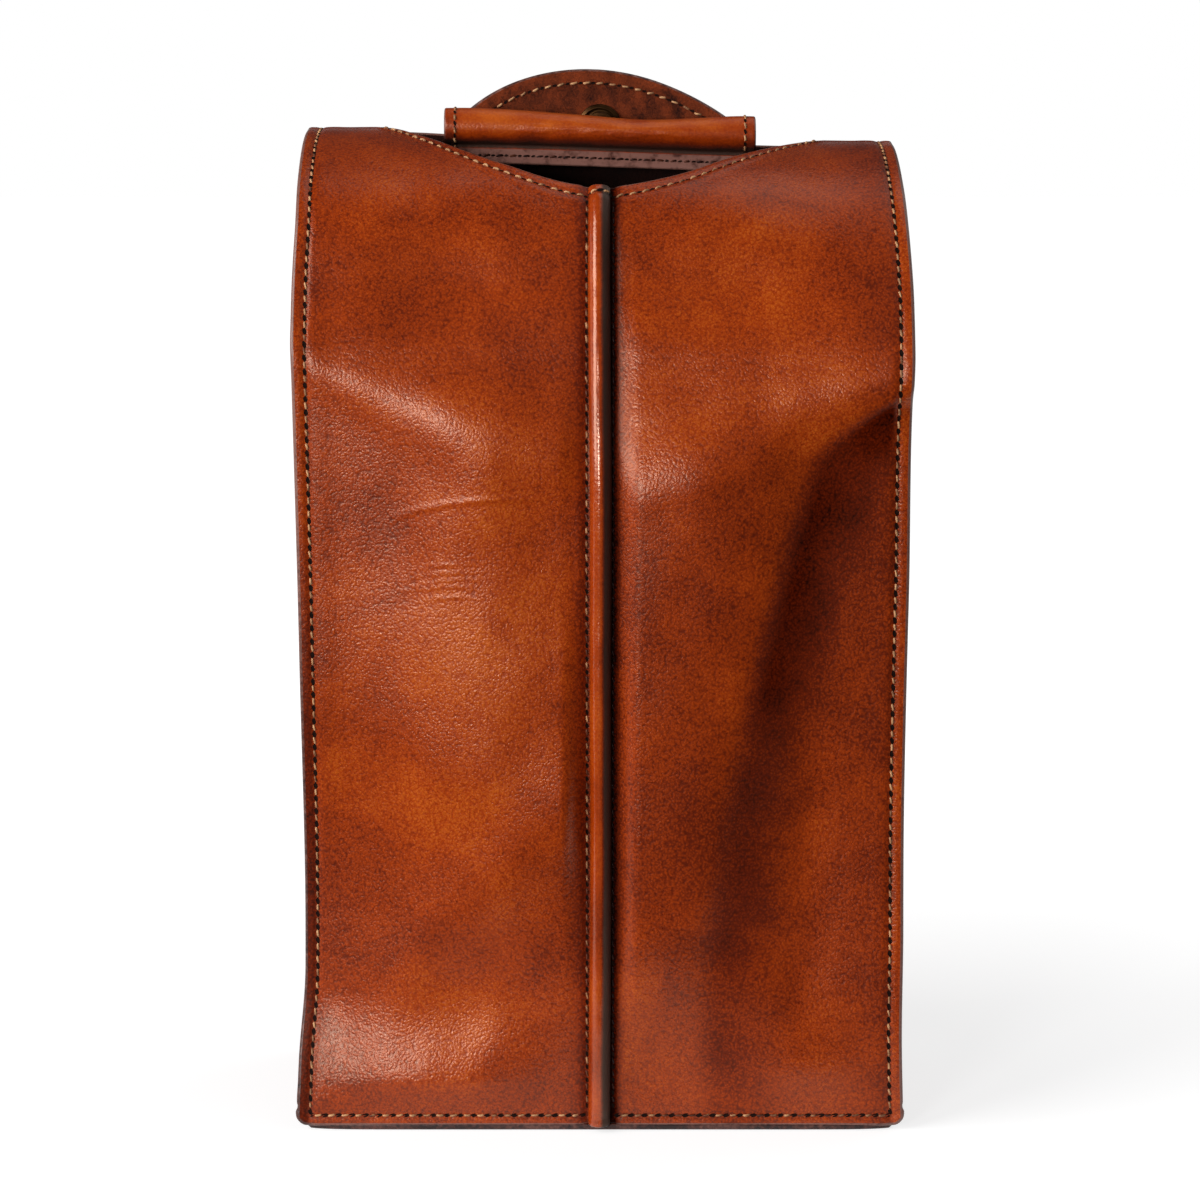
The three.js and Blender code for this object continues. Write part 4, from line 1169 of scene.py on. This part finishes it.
class CARRIER_OT_grip(CarrierOperator):
    """Make the leather rolled round the grip, sewn to a flange below, and the rod in it"""
    bl_idname = "carrier.grip"
    bl_label = "Grip"

    def execute(self, context):
        x = np.linspace(-GRIP_HALF, GRIP_HALF, 150)[:, None]
        t = np.linspace(0, GRIP_T[-1], 110)[None, :]
        grid = grip_skin(x, t)
        height = np.interp(t, GRIP_T, GRIP_FACE_Z) + 0 * x
        roll = ease(height, GRIP_ROLL_LOW - 2 * MM, GRIP_ROLL_LOW + 2 * MM)
        thick = (1.22 + 0.5 * roll) * MM
        under = 1 - ease(height, GRIP_ROLL_LOW, GRIP_Z + 2 * MM)
        shade = hump(height, GRIP_ROLL_LOW, 1.8 * MM)
        ends = ease(np.abs(x), 46 * MM, 52 * MM)
        # Painted shade: the flange below the roll, the lower half of the roll and the line where they meet
        # are darkened, as in the roll's shadow.
        stain_and_painted_light = 0.55 * (1 - roll) + 0.4 * under * roll + 0.6 * shade + 0.2 * ends - 0.24
        stain_and_painted_light = stain_and_painted_light + 0.1 * ripple(x, 2 * t, 16 * MM, 63)
        # The lower part of the front flange is nearly unstained and takes the pale edge finish: a painted
        # sheen.
        strip = (t[0] < GRIP_T[-1] / 2) & (height[0] < GRIP_ROLL_LOW - 1.5 * MM)
        stain_and_painted_light[:, strip] = 0.02 + 0.2 * ripple(x, t[:, strip], 9 * MM, 64)
        sleeve = leather_sheet("grip_leather", grid, (0, -0.3, 1), thick, leather("handled_hide"), stain_and_painted_light)
        kinds = np.zeros(len(sleeve.data.polygons), np.int32)
        sleeve.data.polygons.foreach_get("material_index", kinds)
        faces = kinds[:(len(x) - 1) * (t.size - 1)].reshape(len(x) - 1, -1)
        faces[:, strip[1:]] = 1
        sleeve.data.polygons.foreach_set("material_index", kinds)
        dress(sleeve, "handle", "stained_leather", "grip_sleeve")
        low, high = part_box("grip_core")
        radius = (high[2] - low[2]) / 2
        angle = np.linspace(0, 2 * np.pi, 41)[None, :]
        shrink = np.concatenate([[0.05, 0.8], np.ones(12), [0.8, 0.05]])[:, None]
        bevel, inset = 0.1 * MM, 0.8 * MM
        along = np.concatenate([[low[0], low[0] + bevel], np.linspace(low[0] + inset, high[0] - inset, 12),
                                [high[0] - bevel, high[0]]])[:, None]
        bent = 0.6 * MM * hump(along, GRIP_WORN_X, 26 * MM)
        rod = np.stack([along + 0 * angle, GRIP_Y + radius * shrink * np.cos(angle),
                        GRIP_Z + radius * shrink * np.sin(angle) - bent], -1)
        index = np.arange(rod.size // 3).reshape(rod.shape[:2])
        quads = np.stack([index[:-1, :-1], index[1:, :-1], index[1:, 1:], index[:-1, 1:]], -1)
        beech = bpy.data.materials["oiled_beech"]
        core = new_object("grip_rod", settle(rod).reshape(-1, 3), quads.reshape(-1, 4), [beech])
        dress(core, "handle", "beech_rod", "grip_core")
        return {"FINISHED"}


TAB_LEAN = 2.6 * MM            # how far the apex leans to the left
TAB_RISE = TAB_TOP - TAB_ARC_LOW
TAB_RADIUS = (TAB_HALF ** 2 + TAB_RISE ** 2) / (2 * TAB_RISE)


def tab_half(z):
    """Half width of the tab at height z: straight sides, then the half-moon's arc."""
    arc = np.sqrt(np.maximum(TAB_RADIUS ** 2 - (z - TAB_TOP + TAB_RADIUS) ** 2, (0.4 * MM) ** 2))
    return np.minimum(np.where(z > TAB_ARC_LOW, arc, TAB_HALF), TAB_HALF)


def tab_face(y):
    """A skin of the tab at depth y. The tab leans a little to the left and curls with use."""
    def skin(x, z):
        high = ease(z, 326 * MM, TAB_TOP)
        curl = high * (0.5 * ripple(x, 0, 70 * MM, 71) - 1.2 * (x / TAB_HALF) ** 2) * MM
        return settle(np.stack([x - TAB_LEAN * ease(z, 328 * MM, TAB_TOP), y + curl, z + 0 * x], -1))
    return skin


def tab_rows(low):
    """Heights of a tab's rows, closer together towards its apex."""
    share = np.sin(np.linspace(0, np.pi / 2, 44))
    return np.concatenate([np.linspace(low, TAB_ARC_LOW, 14)[:-1],
                           TAB_ARC_LOW + (TAB_RISE - 0.02 * MM) * share])[:, None]


class CARRIER_OT_tab(CarrierOperator):
    """Make the half-moon tab, sewn to the back panel, and its lining"""
    bl_idname = "carrier.tab"
    bl_label = "Tab"

    def execute(self, context):
        low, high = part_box("tab_root")
        corner = 10 * MM
        across = np.linspace(-1, 1, 80)[None, :]
        z = np.concatenate([low[2] + corner * (1 - np.cos(np.linspace(0.05, np.pi / 2, 12)))[:, None],
                            tab_rows(low[2] + corner)[1:]])
        from_end = np.clip(low[2] + corner - z, 0, corner)
        half = tab_half(z) - (corner - np.sqrt(corner ** 2 - from_end ** 2))
        x = across * half
        stain_and_painted_light = 0.25 + 0.3 * ease(np.abs(across), 0.9, 1) + 0 * x
        grid = tab_face(high[1])(x, z + 0 * x)
        outer = leather_sheet("tab_leather", grid, (0, 1, 0), PANEL, leather(), stain_and_painted_light)
        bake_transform(outer)
        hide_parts("tab_root", "tab_outer")
        low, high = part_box("tab_lining")
        z = tab_rows(low[2])
        x = across * tab_half(z)
        border = ease(np.abs(across), 0.8, 0.95) + ease(z, TAB_TOP - 6 * MM, TAB_TOP - 3 * MM)
        stain_and_painted_light = 0.43 - 0.14 * np.minimum(border, 1) + 0.09 * ripple(x, 0.4 * z, 6 * MM, 72)
        grid = tab_face(low[1])(x, z + 0 * x)
        lining = leather_sheet("tab_lining_leather", grid, (0, -1, 0), high[1] - low[1],
                               tab_lining_leather(), stain_and_painted_light)
        dress(lining, "tab", "flesh_side_leather", "tab_lining")
        return {"FINISHED"}


class CARRIER_OT_brass(CarrierOperator):
    """Make the press stud on the tab, its socket on the grip, and the rivets of the straps"""
    bl_idname = "carrier.brass"
    bl_label = "Brass"

    def execute(self, context):
        brass = bpy.data.materials["tarnished_brass"]
        collar_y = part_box("tab_lining")[0][1] - GAP
        stud = rounded([[0, -3.1], [1.9, -3.1], [2.6, -2.4], [2.2, -1.4], [4.6, -1.4], [5.0, -1.05],
                        [5.6, -1.05], [6.3, -1.4], [7.5, -0.7], [7.5, 0], [1.5, 0], [1.5, 4.7], [0, 4.7]])
        piece = turned("press_stud", stud, (0, collar_y, SNAP_Z), brass)
        dress(piece, "tab", "aged_brass", "snap_stud")
        cap = rounded([[0, 0], [6.2, 0], [6.2, 0.6], [5.4, 1.1], [4.4, 1.45], [2.4, 1.65], [0, 1.7]])
        piece = turned("press_cap", cap, (0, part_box("snap_cap")[0][1], SNAP_Z), brass)
        dress(piece, "tab", "aged_brass", "snap_cap")
        socket = rounded([[0, -1.9], [1.5, -1.9], [1.5, 0], [5, 0], [5, 2.2], [4.5, 2.7], [3.6, 2.7],
                          [3.1, 2.3], [3.1, 1.2], [0, 1.2]])
        piece = turned("press_socket", socket, (0, GRIP_Y + GRIP_RADIUS + GAP, SNAP_Z), brass)
        dress(piece, "handle", "aged_brass", "snap_socket")
        for side in ("left", "right"):
            for level in ("low", "high"):
                self.rivet(f"rivet_{side}_{level}", brass)
        return {"FINISHED"}

    def rivet(self, node, brass):
        """A rivet with a low domed head at either end, from its node's box."""
        low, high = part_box(node)
        centre = ((low[0] + high[0]) / 2, low[1], (low[2] + high[2]) / 2)
        length = (high[1] - low[1]) / MM
        head = [[0, 0], [1.6, 0.1], [3.0, 0.45], [3.9, 0.9], [4.2, 1.4], [1.7, 1.4]]
        pairs = head + [[radius, length - height] for radius, height in reversed(head)]
        dress(turned(f"brass_{node}", rounded(pairs), centre, brass), "bag", "aged_brass", node)


class CARRIER_OT_stitching(CarrierOperator):
    """Sew every seam with waxed thread"""
    bl_idname = "carrier.stitching"
    bl_label = "Stitching"

    def execute(self, context):
        self.front()
        self.back()
        self.tab()
        self.grip()
        return {"FINISHED"}

    def front(self):
        """Side seams, foot, both sides of the welt, the neckline and the welt's end."""
        end = neck_length(0)
        for index, (name, side) in enumerate((("left", -1), ("right", 1))):
            s = np.linspace(4 * MM, PROFILE_LENGTH - 3 * MM, 500)
            x = side * (HALF_WIDTH - SEAM_INSET) + 0 * s
            sew(f"stitches_front_side_{name}", "bag", *path_on(front_skin, x, s), seed=101 + index)
            x = side * np.linspace(6, 97.5, 160) * MM
            sew(f"stitches_foot_{name}", "bag", *path_on(front_skin, x, 2.7 * MM + 0 * x), seed=103 + index,
                soil=0.15 * index)
            s = np.linspace(6 * MM, end - 7 * MM, 400)
            x = side * (WELT_HALF + 0.7 * MM) + 0 * s
            # The right row is soiled more: painted shade, as the welt's shadow falls on it.
            sew(f"stitches_welt_{name}", "bag", *path_on(front_skin, x, s), seed=105 + index,
                soil=0.15 + 0.41 * index, slits=0.75)
            x = side * np.linspace(4.5, 76, 300) * MM
            slope = np.gradient(neck_length(x), x)
            s = neck_length(x) - SEAM_INSET * np.sqrt(1 + slope ** 2)
            sew(f"stitches_neck_{name}", "bag", *path_on(front_skin, x, s), seed=107 + index, slits=0.8)
        angle = np.linspace(0.1, 0.9, 40) * np.pi
        x = -WELT_HALF * np.cos(angle)
        rise = 0.62 * WELT_HEIGHT * np.sin(angle) ** 0.85
        points = front_skin(x, end - SEAM_INSET + 0 * x, -rise)
        normals = np.stack([-np.cos(angle), -0.8 * np.sin(angle), 0.6 * np.sin(angle)], -1)
        sew("stitches_welt_end", "bag", points, unit(normals), seed=109)

    def back(self):
        """Side seams, the side walls' flanges, the foot and the top edge on either side of the tab."""
        for index, (name, side) in enumerate((("left", -1), ("right", 1))):
            z = np.linspace(6 * MM, BACK_TOP - 3 * MM, 400)
            x = side * (HALF_WIDTH - SEAM_INSET) + 0 * z
            sew(f"stitches_back_side_{name}", "bag", *path_on(back_skin, x, z, -1), seed=121 + index)
            s = np.linspace(6 * MM, PROFILE_LENGTH - 20 * MM, 400)[:, None]
            wall = gusset_skin(side, s)
            for end, column in (("front", 3), ("back", -4)):
                normals = grid_normals(wall)[:, column] * side
                inward = np.array([0, 1, 0]) if end == "front" else np.array([0, -1, 0])
                normals = normals * np.sign(np.mean(normals @ inward))
                sew(f"stitches_flange_{end}_{name}", "bag", wall[:, column], normals, seed=123 + index)
        x = np.linspace(-97, 97, 300) * MM
        sew("stitches_back_foot", "bag", *path_on(back_skin, x, SEWN_LOW + 2.7 * MM + 0 * x, -1), seed=127)
        for index, side in enumerate((-1, 1)):
            x = side * np.linspace(55, 93, 120) * MM
            z = BACK_TOP - SEAM_INSET + 0 * x
            sew(f"stitches_back_top_{index}", "bag", *path_on(back_skin, x, z, -1), seed=128 + index)

    def tab(self):
        """The half-moon's arc on both faces, and the root on the back panel."""
        low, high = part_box("tab_root")
        sweep = np.linspace(-1, 1, 200) * math.asin((TAB_HALF - SEAM_INSET) / TAB_RADIUS)
        arc_x = (TAB_RADIUS - SEAM_INSET) * np.sin(sweep)
        arc_z = TAB_TOP - TAB_RADIUS + (TAB_RADIUS - SEAM_INSET) * np.cos(sweep)
        inside = tab_face(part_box("tab_lining")[0][1])
        outside = tab_face(high[1])
        sew("stitches_tab_inside", "tab", *path_on(inside, arc_x, arc_z), seed=131, slits=0.65)
        sew("stitches_tab_outside", "tab", *path_on(outside, arc_x, arc_z, -1), seed=132, slits=0.65)
        half, corner = TAB_HALF - SEAM_INSET, 6 * MM
        bottom = low[2] + SEAM_INSET
        turn = np.linspace(0, np.pi / 2, 20)
        x = np.concatenate([[half], half - corner + corner * np.cos(turn),
                            -half + corner - corner * np.sin(turn), [-half]])
        z = np.concatenate([[high[2] - 3 * MM], bottom + corner - corner * np.sin(turn),
                            bottom + corner - corner * np.cos(turn), [high[2] - 3 * MM]])
        fine = np.linspace(0, len(x) - 1, 400)
        x, z = np.interp(fine, np.arange(len(x)), x), np.interp(fine, np.arange(len(z)), z)
        sew("stitches_tab_root", "bag", *path_on(outside, x, z, -1), seed=133)

    def grip(self):
        """Both ends of the roll and the flange below it."""
        total = GRIP_T[-1]
        for index, (name, side) in enumerate((("left", -1), ("right", 1))):
            t = np.linspace(0.05, 0.95, 200) * total
            x = side * (GRIP_HALF - 3.2 * MM) + 0 * t
            sew(f"stitches_grip_{name}", "handle", *path_on(grip_skin, x, t), seed=141 + index,
                soil=0.08, slits=0.7)
        x = np.linspace(-GRIP_HALF + 7 * MM, GRIP_HALF - 7 * MM, 240)
        for index, (name, t) in enumerate((("front", 2 * MM), ("rear", total - 2 * MM))):
            sew(f"stitches_grip_{name}", "handle", *path_on(grip_skin, x, t + 0 * x), seed=143 + index,
                soil=0.4, slits=0.6)


# Soft lamps: name, place in metres, side of the square in metres, power in watts
LAMPS = (
    ("key_softbox", (-1.2, -0.7, 0.75), 1.0, 22),
    ("front_softbox", (-0.5, -1.33, 0.4), 0.3, 7.5),
    ("top_softbox", (0.5, 0.15, 1.25), 1.2, 3.2),
    ("right_fill", (0.9, -1.2, 1.4), 1.4, 0.8),
    ("rear_fill", (1.6, 1.0, 0.9), 1.2, 5),
)
BAG_MIDDLE = Vector((0, 0, 0.17))

# Colours of the stage: paper as the bag sees it, the part of it that takes the shadow, and white
PAPER = (*linear("#ededed"), 1)
SHADED_PAPER = (*linear("#aeaeae"), 1)
WHITE = (*linear("#ffffff"), 1)

# Camera, fitted to the outline of the bag: metres, degrees and millimetres of lens
CAMERA_TARGET = Vector((0, FRONT_Y, 0.181))
CAMERA_DISTANCE = 1.2164
CAMERA_RISE = 9.75
CAMERA_LENS = 111.1


class CARRIER_OT_stage(CarrierOperator):
    """Make the floor, the lamps, the white surroundings and the camera"""
    bl_idname = "carrier.stage"
    bl_label = "Stage"

    def execute(self, context):
        self.floor()
        self.surroundings(context.scene)
        for name, place, size, power in LAMPS:
            self.lamp(name, place, size, power)
        self.camera(context.scene)
        context.scene.view_settings.view_transform = "Standard"
        return {"FINISHED"}

    def floor(self):
        """Pale paper. Seen directly it is nearly white and keeps a soft shadow."""
        corners = np.array([[-4, -0.16, 0], [4, -0.16, 0], [4, 5, 0], [-4, 5, 0]]) - [0, 0, 0.2 * MM]
        floor = new_object("floor", corners, [[0, 1, 2, 3]], [])
        made, tree = start_material("pale_paper")
        seen = self.seen(tree)
        place = add(tree, "ShaderNodeTexCoord").outputs["Object"]
        far = add(tree, "ShaderNodeVectorMath", {0: place}, operation="LENGTH")
        light = add(tree, "ShaderNodeMapRange", {
            "Value": far.outputs["Value"], "From Min": 0.15, "From Max": 0.6, "To Min": 0.72,
            "To Max": 1.0})
        paper = add(tree, "ShaderNodeBsdfDiffuse", {"Color": PAPER})
        soft = add(tree, "ShaderNodeBsdfDiffuse", {"Color": SHADED_PAPER})
        glow = add(tree, "ShaderNodeEmission", {"Color": WHITE, "Strength": light.outputs[0]})
        both = add(tree, "ShaderNodeAddShader", {0: soft.outputs[0], 1: glow.outputs[0]})
        mixed = add(tree, "ShaderNodeMixShader", {0: seen, 1: paper.outputs[0], 2: both.outputs[0]})
        add(tree, "ShaderNodeOutputMaterial", {"Surface": mixed.outputs[0]})
        floor.data.materials.append(made)

    def seen(self, tree):
        """1 on rays that the eye, a gloss or a clear body sees directly."""
        path = add(tree, "ShaderNodeLightPath")
        gloss = add(tree, "ShaderNodeMath", {
            0: path.outputs["Is Camera Ray"], 1: path.outputs["Is Glossy Ray"]}, operation="MAXIMUM")
        return add(tree, "ShaderNodeMath", {0: gloss.outputs[0], 1: path.outputs["Is Transmission Ray"]},
                   operation="MAXIMUM").outputs[0]

    def surroundings(self, scene):
        """White behind the object, a dim room in front of it."""
        world = bpy.data.worlds.new("studio")
        world.use_nodes = True
        scene.world = world
        tree = world.node_tree
        tree.nodes.clear()
        path = add(tree, "ShaderNodeLightPath")
        place = add(tree, "ShaderNodeTexCoord").outputs["Generated"]
        towards = add(tree, "ShaderNodeSeparateXYZ", {"Vector": place})
        back = add(tree, "ShaderNodeMapRange", {
            "Value": towards.outputs["Y"], "From Min": 0.3, "From Max": 0.7})
        low = add(tree, "ShaderNodeMapRange", {
            "Value": towards.outputs["Z"], "From Min": 0.22, "From Max": 0.04})
        drop = add(tree, "ShaderNodeMath", {0: back.outputs[0], 1: low.outputs[0]}, operation="MULTIPLY")
        mirror = add(tree, "ShaderNodeMapRange", {"Value": drop.outputs[0], "To Min": 0.05, "To Max": 1.0})
        shiny = add(tree, "ShaderNodeMath", {
            0: path.outputs["Is Glossy Ray"], 1: path.outputs["Is Transmission Ray"]}, operation="MAXIMUM")
        dim = add(tree, "ShaderNodeMix", {"Factor": shiny.outputs[0], "A": 0.1, "B": mirror.outputs[0]})
        strength = add(tree, "ShaderNodeMath", {0: dim.outputs["Result"], 1: path.outputs["Is Camera Ray"]},
                       operation="MAXIMUM")
        glow = add(tree, "ShaderNodeBackground", {"Color": WHITE, "Strength": strength.outputs[0]})
        add(tree, "ShaderNodeOutputWorld", {"Surface": glow.outputs[0]})

    def lamp(self, name, place, size, power):
        """A square softbox that looks at the middle of the bag."""
        light = bpy.data.lights.new(name, "AREA")
        light.shape = "SQUARE"
        light.size = size
        light.energy = power
        lamp = bpy.data.objects.new(name, light)
        lamp.location = place
        lamp.rotation_euler = (BAG_MIDDLE - Vector(place)).to_track_quat("-Z", "Y").to_euler()
        bpy.context.scene.collection.objects.link(lamp)

    def camera(self, scene):
        """About 1.2 m in front of the bag and a little above it, with a long lens."""
        data = bpy.data.cameras.new("camera")
        data.sensor_width = 36
        data.lens = CAMERA_LENS
        camera = bpy.data.objects.new("camera", data)
        rise = math.radians(CAMERA_RISE)
        camera.location = CAMERA_TARGET + CAMERA_DISTANCE * Vector((0, -math.cos(rise), math.sin(rise)))
        camera.rotation_euler = (CAMERA_TARGET - camera.location).to_track_quat("-Z", "Y").to_euler()
        scene.collection.objects.link(camera)
        scene.camera = camera


class CARRIER_PT_panel(bpy.types.Panel):
    """Lists the carrier's pieces and settings"""
    bl_label = "Bottle carrier"
    bl_space_type = "VIEW_3D"
    bl_region_type = "UI"
    bl_category = "Carrier"

    def draw(self, context):
        for operator in OPERATORS:
            self.layout.operator(operator.bl_idname)
        for group in (context.scene.carrier_sizes, context.scene.carrier_colours):
            for name in group.bl_rna.properties.keys():
                if name not in ("rna_type", "name"):
                    self.layout.prop(group, name)


OPERATORS = (CARRIER_OT_stage, CARRIER_OT_materials, CARRIER_OT_front, CARRIER_OT_welt, CARRIER_OT_sides,
             CARRIER_OT_back, CARRIER_OT_base, CARRIER_OT_inside, CARRIER_OT_straps, CARRIER_OT_grip,
             CARRIER_OT_tab, CARRIER_OT_brass, CARRIER_OT_stitching)
CLASSES = (CarrierSizes, CarrierColours, *OPERATORS, CARRIER_PT_panel)


def register():
    for item in CLASSES:
        bpy.utils.register_class(item)
    bpy.types.Scene.carrier_sizes = PointerProperty(type=CarrierSizes)
    bpy.types.Scene.carrier_colours = PointerProperty(type=CarrierColours)


def unregister():
    del bpy.types.Scene.carrier_colours
    del bpy.types.Scene.carrier_sizes
    for item in reversed(CLASSES):
        bpy.utils.unregister_class(item)


def main():
    register()
    for operator in OPERATORS:
        family, name = operator.bl_idname.split(".")
        getattr(getattr(bpy.ops, family), name)()
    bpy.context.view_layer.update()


if __name__ == "__main__":
    main()
